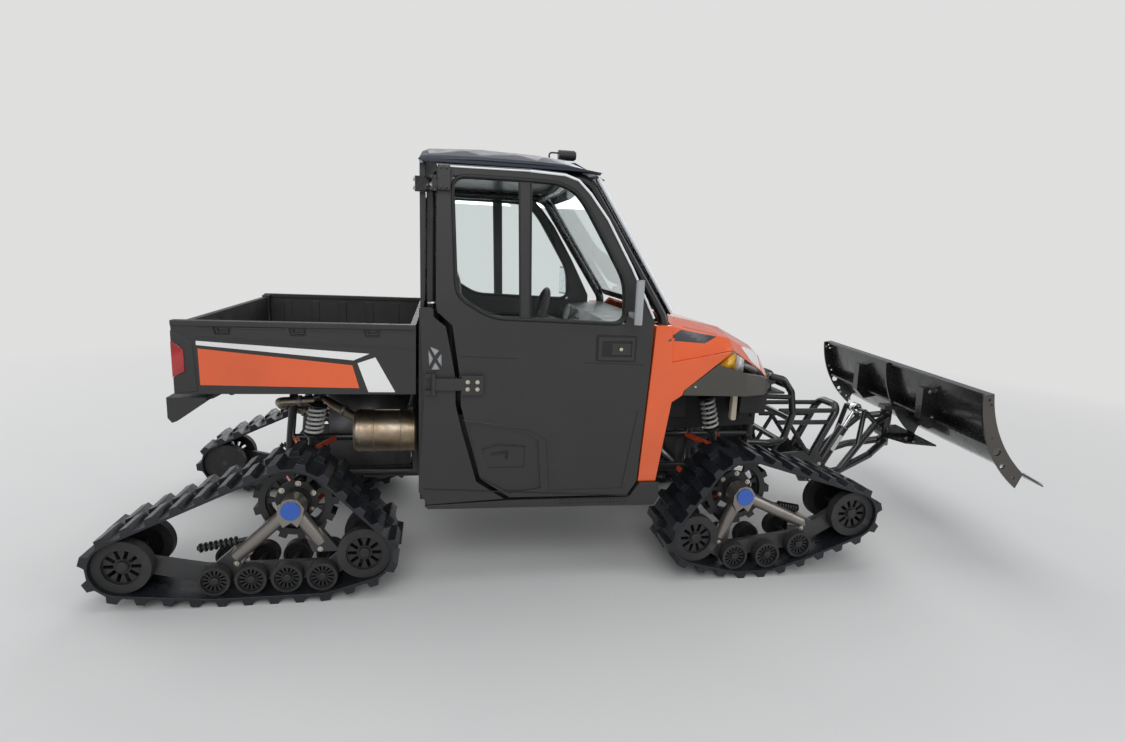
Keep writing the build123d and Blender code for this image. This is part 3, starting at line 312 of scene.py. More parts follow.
MATERIALS = {
    "charcoal": moulded("charcoal_plastic", (0.0215, 0.0210, 0.0205), 0.44),
    "kick_strip": moulded("kick_strip", (0.012, 0.012, 0.013), 0.7, 0.0005),
    "roof": gloss("roof_gloss", (0.008, 0.013, 0.030), 0.34, coat=0.12, peel=0.00002),
    "orange": gloss("orange_gloss", (0.74, 0.105, 0.018), 0.24, peel=0.00003),
    "taupe": moulded("taupe_plastic", (0.052, 0.049, 0.042), 0.40),
    "white": gloss("white_stripe", (0.78, 0.78, 0.76), 0.3),
    # Painted highlight: pale strips that stand in for the sky's reflection along the glossy black cage tubes
    # of the doors and windscreen pillars
    "silver": gloss("painted_highlight_strip", (0.80, 0.82, 0.84), 0.25),
    "black_gloss": coated("black_gloss", (0.012, 0.012, 0.013), 0.24),
    "black_coat": coated("black_coat", (0.016, 0.016, 0.017), 0.40),
    "plough": coated("plough_black", (0.012, 0.012, 0.013), 0.24, (0.045, 0.042, 0.040)),
    "rib_edge": coated("rib_edge", (0.050, 0.043, 0.036), 0.38, (0.12, 0.10, 0.08)),
    "rubber": rubber("belt_rubber", (0.0085, 0.0100, 0.0130), (0.020, 0.022, 0.026), 0.32),
    "seal": rubber("window_seal", (0.005, 0.005, 0.005), (0.012, 0.012, 0.012), 0.5),
    "track_frame": flake_metal("track_frame_paint", (0.235, 0.215, 0.195)),
    "wheel": moulded("wheel_black", (0.013, 0.013, 0.014), 0.42),
    "rim_rubber": rubber("rim_rubber", (0.018, 0.018, 0.018), (0.05, 0.046, 0.042), 0.66),
    "zinc": bare_metal("zinc_bolts", (0.62, 0.58, 0.48), 0.30),
    "steel": bare_metal("steel_bolts", (0.42, 0.42, 0.42), 0.34),
    "chrome": bare_metal("hard_chrome", (0.80, 0.80, 0.81), 0.08),
    "muffler": bare_metal("heat_stained", (0.50, 0.43, 0.34), 0.42, (0.26, 0.17, 0.09)),
    "cast": cast_metal("cast_metal", (0.10, 0.10, 0.105)),
    "cast_light": cast_metal("cast_alloy", (0.32, 0.32, 0.33), 0.5, 0.8),
    "arm_red": coated("arm_red", (0.62, 0.075, 0.02), 0.32),
    "spring": coated("spring_grey", (0.52, 0.52, 0.50), 0.34),
    "damper": coated("damper_black", (0.015, 0.015, 0.016), 0.30),
    "vinyl": vinyl("seat_vinyl", (0.016, 0.016, 0.018)),
    "glass": glass("clear_glass", (0.90, 0.94, 0.94)),
    "amber": lens("amber_lens", (0.98, 0.52, 0.02)),
    "clear_lens": lens("clear_lens", (0.82, 0.83, 0.80)),
    "red_lens": lens("red_lens", (0.50, 0.012, 0.012)),
    "red_hook": gloss("red_hook", (0.60, 0.03, 0.02), 0.35),
    "cap_blue": gloss("cap_blue", (0.010, 0.085, 0.42), 0.30),
    "cable": bare_metal("winch_cable", (0.35, 0.35, 0.36), 0.4),
    "decal_dark": gloss("decal_dark", (0.022, 0.025, 0.030), 0.3),
    "inlay": moulded("vent_inlay", (0.34, 0.35, 0.36), 0.5),
    # Mirror housing painted light grey: a painted reflection of the bright sky on its glossy black plastic
    "mirror_painted_reflection": moulded("mirror_painted_reflection", (0.30, 0.31, 0.32), 0.42),
    "mirror_face": bare_metal("mirror_face", (0.86, 0.88, 0.90), 0.03),
    "trim_gloss": gloss("trim_gloss", (0.014, 0.015, 0.017), 0.12),
    "pipe": bare_metal("exhaust_pipe", (0.42, 0.36, 0.28), 0.45, (0.20, 0.14, 0.09)),
    "rail": coated("rail_dark", (0.030, 0.030, 0.031), 0.42),
    "reservoir": moulded("reservoir", (0.52, 0.46, 0.34), 0.4),
}


def by_word(groups):
    """The key of each word in groups of words."""
    return {word: key for key, words in groups.items() for word in words.split()}


# Finish of each CAD node, and of those with one on each side
NODE_FINISH = by_word({
    "charcoal": "floor_tub rocker_sills cab_rear_wall quarter_panels dashboard rear_bumper bed_tub tailgate",
    "black_coat": "chassis_frame hitch_receiver lift_barrel",
    "black_gloss": "cab_frame grille_guard",
    "glass": "rear_glass windshield",
    "roof": "roof",
    "vinyl": "seat_cushion seat_back",
    "wheel": "steering_wheel roof_lamp rear_track_wheels rear_sprockets",
    "orange": "hood side_cowls",
    "taupe": "front_fascia",
    "amber": "headlamps",
    "cast": "winch radiator gearcases rear_knuckles",
    "cast_light": "engine_block",
    "plough": "plough_mount push_frame blade",
    "muffler": "exhaust",
    "steel": "half_shafts",
    "arm_red": "suspension_arms",
    "spring": "shocks",
    "rubber": "rear_track_belts",
    "track_frame": "rear_track_frames",
    "red_lens": "tail_lamps",
    "chrome": "lift_rod",
})
PAIR_FINISH = {
    "front_belt": "rubber", "front_wheels": "wheel", "front_frame": "track_frame", "front_sprocket": "wheel",
    # door_mirror takes the light grey painted reflection of the sky, in place of its black plastic
    "front_knuckle": "cast", "door_panel": "charcoal", "door_glass": "glass", "door_mirror": "mirror_painted_reflection",
}
NODE_FINISH |= {f"{node}_{hand}": finish for node, finish in PAIR_FINISH.items() for hand in HANDS.values()}

# Slot of a piece by its finish, unless the piece names another
SLOTS = by_word({
    "black_plastic": "charcoal kick_strip seal wheel",
    "cast_grey": "black_coat black_gloss cable cast steel zinc",
    "chrome_rod": "mirror_face",
    "cylinder": "damper",
    "frame_black": "trim_gloss",
    "lamp_lens": "clear_lens",
    "mirror_shell": "rim_rubber",
    "muffler_tan": "cast_light muffler",
    "orange": "orange",
    "roof_gloss": "decal_dark roof",
    "spring_grey": "inlay reservoir silver spring white",
    "tail_red": "red_hook",
})

SHARP = math.radians(32)
EDGE_BEVEL = {"charcoal": 0.0030, "roof": 0.006, "orange": 0.004, "taupe": 0.004, "rubber": 0.0025,
              "plough": 0.0012, "track_frame": 0.0025, "wheel": 0.002, "cast": 0.003, "vinyl": 0.02}


def soften(obj, width):
    """Rounds the sharp edges of a piece and shades the rest smooth."""
    for polygon in obj.data.polygons:
        polygon.use_smooth = True
    weld = obj.modifiers.new("weld", "WELD")
    weld.merge_threshold = 0.00002
    if width:
        bevel = obj.modifiers.new("bevel", "BEVEL")
        bevel.width = width
        bevel.segments = 2
        bevel.limit_method = "ANGLE"
        bevel.angle_limit = SHARP
        bevel.harden_normals = False
        bevel.use_clamp_overlap = True
    normals = obj.modifiers.new("normals", "WEIGHTED_NORMAL")
    normals.keep_sharp = False
    normals.weight = 80


# Zones of the CAD nodes that have more than one finish
HUB_X = {"rear": 0.0, "front": 2057.0}
HUB_Z = 415.0
# Rod of the track frame's spring and feet of its legs: x from the hub, height
SPRING_ROD = {"rear": ((-150, 272), (-395, 227)), "front": ((160, 352), (333, 316))}
LEG_FEET = {"rear": ((-240, 188), (104, 240)), "front": ((-84, 190), (352, 248))}
# Reach of the track frame's zones, and where its caps begin
HUB_REACH, LEG_REACH, ROD_REACH, ROD_START, ROD_Y = 84, 32, 21, 0.1, 740
CAP_Y = 790.5
SWIVEL_X = 3380.0
BLADE_TURN = turn_about(place(SWIVEL_X, 0, 0), math.radians(-9.2))
RIB_Y, TOP_EDGE_Z = 912.5, 949
# Ends of the lamps' amber part, the winch's tray and the exhaust's pipes
AMBER_X, TRAY_Z, CAN_X, CAN_Y = 2000, 812, 205, -290
IDLER, BOGIE = (114, 80), (64, 54)
WHEELS = {
    # x from the rear axle, height, radius of the wheel and radius where its rubber starts
    "rear": ((-664, 186, *IDLER), (-318, 102, *BOGIE), (-173, 102, *BOGIE), (-28, 102, *BOGIE),
             (117, 102, *BOGIE), (294, 203, *IDLER)),
    "front": ((1828, 207, *IDLER), (2040, 102, *BOGIE), (2212, 102, *BOGIE), (2378, 150, *BOGIE),
              (2650, 303, *IDLER)),
}


def from_line(x, z, a, b):
    """Distance of a point from the run between two points of a side view, and its share of the way."""
    ax, az = b[0] - a[0], b[1] - a[1]
    share = ((x - a[0]) * ax + (z - a[1]) * az) / (ax * ax + az * az)
    share = max(0.0, min(1.0, share))
    return math.hypot(x - a[0] - ax * share, z - a[1] - az * share), share


def frame_zone(x, y, z):
    """Finish of a track frame's face: cap, spring, legs or rail."""
    end = "rear" if x < HUB_X["front"] / 2 else "front"
    hub_x = HUB_X[end]
    if abs(y) > CAP_Y:
        return "cap_blue"
    near, far = [(hub_x + p[0], p[1]) for p in SPRING_ROD[end]]
    gap, share = from_line(x, z, near, far)
    if gap < ROD_REACH and share > ROD_START and abs(y) < ROD_Y:
        return "damper"
    legs = [from_line(x, z, (hub_x, HUB_Z), (hub_x + foot[0], foot[1]))[0] for foot in LEG_FEET[end]]
    if min(legs) < LEG_REACH or math.hypot(x - hub_x, z - HUB_Z) < HUB_REACH:
        return "track_frame"
    return "rail"


def wheel_zone(x, y, z):
    """Finish of a track wheel's face: its rubber rim or its moulded middle."""
    for wx, wz, r, rubber_r in WHEELS["rear"] + WHEELS["front"]:
        gap = math.hypot(x - wx, z - wz)
        if gap < r + 2:
            return "rim_rubber" if gap > rubber_r else "wheel"
    return "wheel"


def blade_zone(x, y, z):
    """Finish of the blade's face: worn end ribs and top edge, black sheet."""
    flat = BLADE_TURN.inverted() @ place(x, y, z)
    return "rib_edge" if abs(flat.y) / MM > RIB_Y or z > TOP_EDGE_Z else "plough"


def lamp_zone(x, y, z):
    """Finish of a lamp's face: amber behind, clear in front."""
    return "amber" if x < AMBER_X else "clear_lens"


def exhaust_zone(x, y, z):
    """Finish of the exhaust: the can and its pipes."""
    return "muffler" if x > CAN_X and y < CAN_Y else "pipe"


def winch_zone(x, y, z):
    """Finish of the winch: tray, or drum and housings."""
    return "black_coat" if z < TRAY_Z else "cast"


ZONES = {"blade": blade_zone, "headlamps": lamp_zone, "exhaust": exhaust_zone, "winch": winch_zone,
         "rear_track_frames": frame_zone, "front_frame_right": frame_zone, "front_frame_left": frame_zone,
         "rear_track_wheels": wheel_zone, "front_wheels_right": wheel_zone, "front_wheels_left": wheel_zone}


def dress_frame():
    """Gives every CAD node its finish, or one finish for each zone of it."""
    for name, obj in nodes.items():
        mesh = obj.data
        mesh.materials.clear()
        finish = NODE_FINISH[name]
        zone = ZONES.get(name)
        if zone is None:
            mesh.materials.append(MATERIALS[finish])
        else:
            order = []
            for polygon in mesh.polygons:
                x, y, z = polygon.center
                part = zone((x - REAR_AXLE_X) / MM, y / MM, z / MM)
                if part not in order:
                    order.append(part)
                    mesh.materials.append(MATERIALS[part])
                polygon.material_index = order.index(part)
        soften(obj, EDGE_BEVEL.get(finish, 0.0))


# Ways to make pieces
def new_object(name, mesh, finish):
    """An object from a bmesh, with its finish."""
    data = bpy.data.meshes.new(name)
    mesh.to_mesh(data)
    mesh.free()
    data.materials.append(MATERIALS[finish])
    obj = bpy.data.objects.new(name, data)
    scene.collection.objects.link(obj)
    return obj


def square_to(axis):
    """Two directions square to a unit axis and to each other."""
    across = axis.orthogonal().normalized()
    return across, axis.cross(across)


def ring(centre, across, other, radius, sides):
    """Points round a circle in the plane of two directions."""
    turns = [2 * math.pi * k / sides for k in range(sides)]
    return [centre + radius * (math.cos(t) * across + math.sin(t) * other) for t in turns]


def around(x, z, radius, count, start=0.0):
    """Points of a side view round a circle, from a start angle in degrees."""
    turns = [math.radians(start + 360 * k / count) for k in range(count)]
    return [(x + radius * math.cos(t), z + radius * math.sin(t)) for t in turns]


def rect(x0, x1, z0, z1):
    """The corners of a rectangle in a side view or on the ground."""
    return ((x0, z0), (x1, z0), (x1, z1), (x0, z1))


class Piece:
    """A mesh put together from simple forms, in millimetres from the rear axle.

    A positive y is the distance from the middle towards the side that the piece is set to.
    """

    def __init__(self, side=LEFT, turn=None):
        self.mesh = bmesh.new()
        self.side = side
        self.turn = turn or Matrix()

    def sides(self):
        """Sets the piece to the right and then to the left."""
        for side in BOTH:
            self.side = side
            yield side

    def on_side(self, point):
        """A point or direction on the side that the piece is set to."""
        x, y, z = point
        return Vector((x, self.side * y, z))

    def skin(self, rings, closed=False):
        """Faces between rings of points, with the ends capped or joined."""
        n, sides = len(rings), len(rings[0])
        verts = [self.mesh.verts.new(self.turn @ place(*p)) for points in rings for p in points]
        faces = []
        for i in range(n if closed else n - 1):
            for k in range(sides):
                a, b = i * sides + k, i * sides + (k + 1) % sides
                faces.append((a, b, (b + sides) % (n * sides), (a + sides) % (n * sides)))
        if not closed:
            faces += [range(sides - 1, -1, -1), range((n - 1) * sides, n * sides)]
        for face in faces:
            self.mesh.faces.new([verts[i] for i in face])
        return self

    def prism(self, outline, y0, y1):
        """A side outline between two distances from the middle."""
        return self.skin([[(x, self.side * y, z) for x, z in outline] for y in (y0, y1)])

    def box(self, x0, x1, y0, y1, z0, z1):
        """A plain box between two places."""
        return self.prism(rect(x0, x1, z0, z1), y0, y1)

    def lathe(self, base, axis, profile, sides=20):
        """A round form: profile of distance along the axis and radius, from end to end."""
        base, axis = self.on_side(base), self.on_side(axis).normalized()
        across, other = square_to(axis)
        return self.skin([ring(base + axis * along, across, other, r, sides) for along, r in profile])

    def rod(self, start, end, radius, sides=16):
        """A round bar between two places."""
        axis = Vector(end) - Vector(start)
        return self.lathe(start, axis, ((0, radius), (axis.length, radius)), sides)

    def stroke(self, points, y, radius=4.5):
        """A raised line of bars along points of a side view."""
        for (x0, z0), (x1, z1) in zip(points, points[1:]):
            self.rod((x0, y, z0), (x1, y, z1), radius, 8)

    def bolt(self, base, axis, radius):
        """A hex bolt on its washer."""
        washer = ((0, 1.7 * radius), (0.3 * radius, 1.65 * radius))
        head = ((0.2 * radius, radius), (0.9 * radius, radius), (1.1 * radius, 0.8 * radius))
        self.lathe(base, axis, washer, 16).lathe(base, axis, head, 6)

    def tube(self, points, radius, sides=10, closed=False):
        """A round tube along points, closed to a ring if asked."""
        points = [self.on_side(p) for p in points]
        n = len(points)
        rings = []
        across = None
        for i, p in enumerate(points):
            ahead = points[(i + 1) % n] if closed or i + 1 < n else p
            behind = points[i - 1] if closed or i else p
            axis = (ahead - behind).normalized()
            if across is None:
                across = axis.orthogonal().normalized()
            across = (across - axis * across.dot(axis)).normalized()
            rings.append(ring(p, across, axis.cross(across), radius, sides))
        return self.skin(rings, closed)

    def helix(self, start, end, radius, wire, turns, per_turn):
        """A coil spring between two points."""
        circle = ring(Vector(), *square_to((end - start).normalized()), radius, per_turn)
        count = int(turns * per_turn)
        line = [start + (end - start) * i / count + circle[i % per_turn] for i in range(count + 1)]
        return self.tube(line, wire, 8)

    def make(self, name, body, finish, bevel=0.0, slot=None):
        """The object: it rides the body. The slot of its finish, or the one named, is looked up but not
        given to it.
        """
        bmesh.ops.recalc_face_normals(self.mesh, faces=self.mesh.faces)
        obj = new_object(name, self.mesh, finish)
        soften(obj, bevel)
        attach(obj, body)
        slot or SLOTS[finish]
        return obj


FILM_STEPS = (14, 5)
FILM_LIFT, FILM_THICK = 0.0012, 0.0008
# Where a film's rays start, millimetres, and how far they go where they meet nothing, metres
FILM_FROM_Y, FILM_FROM_Z, FILM_MISS = 1200, 1600, 0.6


def search_tree(mesh):
    """Search tree of a mesh, for laying a film on it."""
    return BVHTree.FromPolygons([v.co for v in mesh.vertices], [p.vertices for p in mesh.polygons])


def film(name, body, quads, s, targets, finish, down=False):
    """A thin film on side s: each quad of side-view corners is laid on the nodes behind it.

    With down, the corners are x and the distance from the middle, and the film is laid from above.
    """
    trees = [search_tree(nodes[target].data) for target in targets]
    wide, high = FILM_STEPS
    way = Vector((0, 0, -1)) if down else Vector((0, -s, 0))
    mesh = bmesh.new()
    for quad in quads:
        a, b, c, d = [Vector(corner) for corner in quad]
        grid = []
        for j in range(high + 1):
            row = []
            for i in range(wide + 1):
                u = i / wide
                p, q = a.lerp(b, u).lerp(d.lerp(c, u), j / high)
                origin = place(p, s * q, FILM_FROM_Z) if down else place(p, s * FILM_FROM_Y, q)
                hits = [tree.ray_cast(origin, way) for tree in trees]
                hits = [hit for hit in hits if hit[0] is not None]
                best = min(hits, key=lambda hit: hit[3]) if hits else None
                row.append(mesh.verts.new(best[0] - way * FILM_LIFT if best else origin + way * FILM_MISS))
            grid.append(row)
        for low, top in zip(grid, grid[1:]):
            for i in range(wide):
                mesh.faces.new((low[i], low[i + 1], top[i + 1], top[i]))
    obj = new_object(name, mesh, finish)
    thick = obj.modifiers.new("thick", "SOLIDIFY")
    thick.thickness = FILM_THICK
    thick.offset = 0.0
    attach(obj, body)


def inset(points, share):
    """Corners drawn towards their middle by a share."""
    cx = sum(p[0] for p in points) / len(points)
    cz = sum(p[1] for p in points) / len(points)
    return [(cx + share * (x - cx), cz + share * (z - cz)) for x, z in points]


def rounded(points, radius, steps=5):
    """A closed outline with its corners rounded."""
    out = []
    n = len(points)
    for i in range(n):
        p = Vector(points[i])
        before, after = Vector(points[i - 1]) - p, Vector(points[(i + 1) % n]) - p
        cut = min(radius, 0.45 * before.length, 0.45 * after.length)
        a, b = p + before.normalized() * cut, p + after.normalized() * cut
        for k in range(steps + 1):
            t = k / steps
            out.append(tuple((1 - t) ** 2 * a + 2 * t * (1 - t) * p + t * t * b))
    return out


# Sizes shared by the pieces, millimetres
BODY_Y = 715.0
BED_Y = 713.0
HINGE_FACE_Y = 740.0
WINDOW = ((656, 1825), (942, 1825), (1105, 1821), (1180, 1790), (1232, 1729), (1329, 1572), (1423, 1415),
          (1435, 1226), (831, 1240), (679, 1330))
DOOR_EDGE = ((594, 1866), (977, 1868), (1127, 1861), (1186, 1843), (1242, 1790), (1325, 1686), (1446, 1484),
             (1562, 1263))
MIRROR_X, MIRROR_Y, MIRROR_TURN = 1449, 849, math.radians(18)
MIRROR_HALF = 66
VENT = ((557, 1123), (622, 1097), (625, 1005), (565, 1002))
VENT_MIDDLE = (592, 1057)


def dress_bed():
    """Panels, stripes, steps, floor ribs and the latch of the bed."""
    for s, hand in HANDS.items():
        film(f"bed_panel_{hand}", "bed", [((-345, 939), (277, 928), (250, 1027), (-347, 1090))], s,
             ["bed_tub"], "orange")
        film(f"bed_stripes_{hand}", "bed",
             [((-352, 1104), (255, 1048), (320, 1077), (-352, 1121)),
              ((314, 911), (425, 911), (344, 1062), (271, 1036))], s, ["bed_tub"], "white")
        steps = Piece(s)
        for x0, x1, z in ((-343, -292, 1171), (-212, -8, 1175), (78, 290, 1171), (372, 500, 1173)):
            steps.box(x0, x1, BED_Y, BED_Y + 3.5, z - 3, z + 3)
        for x in (-252, 37, 333):
            steps.tube([(x - 20, BED_Y - 4, 1172), (x - 20, BED_Y - 3, 1158),
                        (x + 20, BED_Y - 3, 1158), (x + 20, BED_Y - 4, 1172)], 4, 8)
        ridge = ((-356, 1138), (505, 1101), (505, 1095), (-356, 1132))
        steps.prism(rounded(ridge, 2, 2), BED_Y, BED_Y + 2.5)
        steps.make(f"bed_steps_{hand}", "bed", "charcoal", 0.0008)
    ribs = Piece()
    for y in range(-600, 601, 75):
        ribs.prism(((-395, 923), (-390, 929), (470, 929), (475, 923)), y - 16, y + 16)
    for _ in ribs.sides():
        for x in range(-330, 470, 160):
            ribs.box(x, x + 44, BED_Y - 32, BED_Y - 26, 935, 1165)
    for y in range(-520, 560, 208):
        ribs.box(479, 485.5, y - 26, y + 26, 935, 1165)
    ribs.make("bed_ribs", "bed", "charcoal", 0.002)
    gate = Piece()
    gate.prism(rounded(((-448, 1148), (-453, 1168), (-447, 1176), (-442, 1150)), 3, 3), -70, 70)
    for y in (-440, -150, 150, 440):
        gate.box(-441.5, -436, y - 4, y + 4, 992, 1126)
    for _ in gate.sides():
        gate.rod((-446, 596, 1108), (-446, 596, 1150), 9)
        gate.box(-449, -441, 584, 608, 1122, 1136)
    gate.make("tailgate_trim", "tailgate_body", "charcoal", 0.0015)
    bolts = Piece()
    for _ in bolts.sides():
        for z in (1060, 1010):
            bolts.bolt((-443, 675, z), BACK, 6)
    bolts.make("bed_bolts", "bed", "steel")


def dress_doors():
    """Seals, hinge bolts, latches, trim, a painted highlight strip along each door's top edge, and mirrors
    of both doors.
    """
    for s, hand in HANDS.items():
        body = f"door_{hand}"
        seal = Piece(s)
        for y in (BODY_Y - 1, BODY_Y - 37):
            seal.tube([(x, y, z) for x, z in rounded(WINDOW, 60)], 8.5, 8, True)
        for x_top, x_low in ((934, 955), (984, 1000)):
            seal.tube([(x_top, BODY_Y - 3, 1822), (x_low, BODY_Y - 3, 1238)], 4.5, 8)
        seal.make(f"window_seal_{hand}", body, "seal")
        trim = Piece(s)
        trim.tube([(x - 3, BODY_Y - 2, z - 4) for x, z in DOOR_EDGE], 6.5)
        trim.make(f"door_trim_{hand}", body, "trim_gloss")
        strip = Piece(s)
        # Pale strips along the door's top edge are a painted highlight, standing in for the reflection on
        # the glossy black tube there
        for edge, r in ((DOOR_EDGE[:2], 3.8), (DOOR_EDGE[1:], 5.6)):
            strip.tube([(x + 1, BODY_Y + 2.5, z - 7) for x, z in edge], r)
        strip.make(f"door_highlight_strip_{hand}", body, "silver")
        bolts, top_bolts = Piece(s), Piece(s)
        for x in (732, 774):
            for z in (962, 930):
                bolts.bolt((x, HINGE_FACE_Y, z), OUT, 5.5)
        for x in (611, 633):
            for z in (1850, 1773):
                top_bolts.bolt((x, HINGE_FACE_Y, z), OUT, 4.5)
        top_bolts.make(f"door_hinge_bolts_{hand}", body, "black_gloss")
        bolts.lathe((1418, BODY_Y + 2, 1112), OUT, ((0, 9), (3, 9), (5, 6)))
        bolts.make(f"door_bolts_{hand}", body, "zinc")
        latch = Piece(s)
        latch.prism(rounded(rect(1336, 1368, 1090, 1140), 6), BODY_Y - 11, BODY_Y - 2)
        plate = ((1300, 1178), (1493, 1174), (1490, 1052), (1303, 1056))
        latch.prism(rounded(plate, 10), BODY_Y, BODY_Y + 1.6)
        latch.tube([(880, BODY_Y - 42, 1120), (1060, BODY_Y - 66, 1124), (1230, BODY_Y - 42, 1118)], 12)
        latch.box(1290, 1350, BODY_Y - 52, BODY_Y - 40, 1080, 1140)
        latch.stroke(((801, 648), (868, 670), (998, 660)), BODY_Y - 8)
        latch.stroke(((846, 622), (915, 632), (914, 600)), BODY_Y - 8)
        latch.make(f"door_latch_{hand}", body, "seal", 0.0008)
        lip = Piece(s)
        lip.stroke(((717, 783), (1012, 741), (1094, 692), (1116, 440)), BODY_Y - 1.5)
        lip.make(f"door_lip_{hand}", body, "charcoal")
        mirror = Piece(s, turn_about(place(MIRROR_X, s * MIRROR_Y, 0), s * MIRROR_TURN))
        mirror.box(1430.8, 1432.2, MIRROR_Y - MIRROR_HALF, MIRROR_Y + MIRROR_HALF, 1256, 1420)
        mirror.make(f"mirror_glass_{hand}", body, "mirror_face")


def dress_cab():
    """Trim round the glass, painted highlight strips on the windscreen pillars, vents, steps, cage bolts,
    roof edge and the roof lamp's glass.
    """
    strip = Piece()
    for _ in strip.sides():
        # A pale rod along each windscreen pillar is a painted highlight, standing in for the reflection on
        # the glossy black tube
        strip.rod((1288, 648, 1858), (1673, 648, 1278), 11, 12)
    strip.make("windscreen_highlight_strips", "root", "silver")
    border = Piece()
    top, low = ((1281.5, 1858.5), (1284.5, 1856.5)), ((1671.5, 1271.0), (1668.5, 1273.0))
    for _ in border.sides():
        border.prism(top + low, 602, 640)
    border.prism(top + ((1310, 1818), (1307, 1820)), -602, 602)
    border.prism(((1645, 1308), (1648, 1306)) + low, -602, 602)
    border.make("windscreen_border", "root", "seal")
    rear = Piece()
    pane = rounded(rect(-597, 597, 1302, 1833), 50)
    rear.tube([(541, y, z) for y, z in pane], 6, 8, True)
    rear.make("rear_window_seal", "root", "seal")
    inlay = Piece()
    for _ in inlay.sides():
        for i in range(4):
            corners = inset((VENT[i], VENT[(i + 1) % 4], VENT_MIDDLE), 0.62)
            inlay.prism(corners, BODY_Y - 10, BODY_Y - 5)
    inlay.make("vent_inlays", "root", "inlay")
    step = Piece()
    for _ in step.sides():
        for x in range(1168, 1475, 18):
            for z in (379, 396):
                step.prism(((x, z), (x + 9, z + 3), (x + 12, z + 9), (x + 3, z + 6)), 719, 722.5)
        step.prism(((548, 470), (1500, 412), (1500, 408), (548, 466)), BODY_Y + 1, BODY_Y + 3)
    step.make("step_strip", "root", "kick_strip", 0.0008)
    clamps = Piece()
    for _ in clamps.sides():
        for z in (1770, 1806):
            clamps.bolt((503, 655, z), BACK, 6)
        clamps.bolt((575, 668.5, 1788), OUT, 6)
        clamps.rod((598, 690, 1300), (560, 690, 1294), 6)
    clamps.make("cage_bolts", "root", "zinc")
    roof = Piece()
    for _ in roof.sides():
        roof.tube([(530, 682, 1886), (760, 686, 1896), (1000, 686, 1894), (1130, 684, 1890),
                   (1225, 680, 1880), (1290, 672, 1872)], 7)
    roof.make("roof_edge", "root", "roof")
    lamp = Piece()
    lamp.lathe((1250, -300, 1991), (1, 0, 0), ((0, 17), (0.3, 17)))
    lamp.box(1150, 1186, -330, -270, 1942, 1952)
    lamp.rod((1205, -300, 2013), (1205, -300, 2014.5), 8)
    lamp.make("roof_lamp_glass", "root", "clear_lens")


# Direction of the steering column towards the driver, middle of the wheel's hub and its rise to the rim
COLUMN = (-0.9614, 0.0, 0.2747)
WHEEL_HUB = (1231.7, 330, 1128.1)
WHEEL_RISE, RIM_R = 43, 170


def dress_dash():
    """Instruments, vents, pedals, the shift lever and the steering wheel."""
    dash = Piece()
    dash.lathe((1392, 330, 1150), COLUMN, ((0, 66), (26, 62), (30, 56)), 28)
    for y in (-480, -300, 60, 560):
        dash.prism(rounded(((1352, 1120), (1366, 1176), (1374, 1176), (1360, 1120)), 3), y - 55, y + 55)
    dash.prism(((1360, 1010), (1372, 1092), (1384, 1092), (1384, 1010)), -520, -120)
    for y in range(96, 227, 26):
        dash.box(1352, 1366, y, y + 18, 1050, 1082)
    dash.rod((1420, 120, 930), (1330, 120, 1010), 9)
    dash.lathe((1330, 120, 1010), (-0.6, 0, 0.8), ((0, 8), (6, 20), (26, 24), (40, 16)), 18)
    for y, w in ((270, 40), (390, 55)):
        dash.prism(((1530, 520), (1522, 590), (1530, 592), (1540, 522)), y - w / 2, y + w / 2)
        dash.rod((1545, y, 600), (1534, y, 556), 6)
        dash.rod((1545, y, 600), (1631, y, 760), 6)
    dash.make("dash_fittings", "root", "wheel", 0.002)
    face = Piece()
    face.lathe((1363, 330, 1158.2), COLUMN, ((0, 54), (1.2, 54)), 28)
    face.make("dial_glass", "root", "clear_lens", slot="clear_glass")
    wheel = Piece()
    axis = Vector(COLUMN)
    middle = Vector(WHEEL_HUB) + WHEEL_RISE * axis
    wheel.tube(ring(middle, *square_to(axis), RIM_R, 48), 14.5, 12, True)
    for k in range(3):
        turn = 2 * math.pi * k / 3 + math.pi / 2
        out = math.cos(turn) * Vector(OUT) + math.sin(turn) * Vector(OUT).cross(axis).normalized()
        wheel.rod(middle + 20 * out - 6 * axis, middle + 162 * out, 10, 12)
    wheel.lathe(Vector(WHEEL_HUB), axis, ((0, 40), (20, 42), (40, 44), (48, 38), (52, 20)), 28)
    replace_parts(wheel.make("wheel_grip", "steering_wheel_body", "rim_rubber"), "steering_wheel")


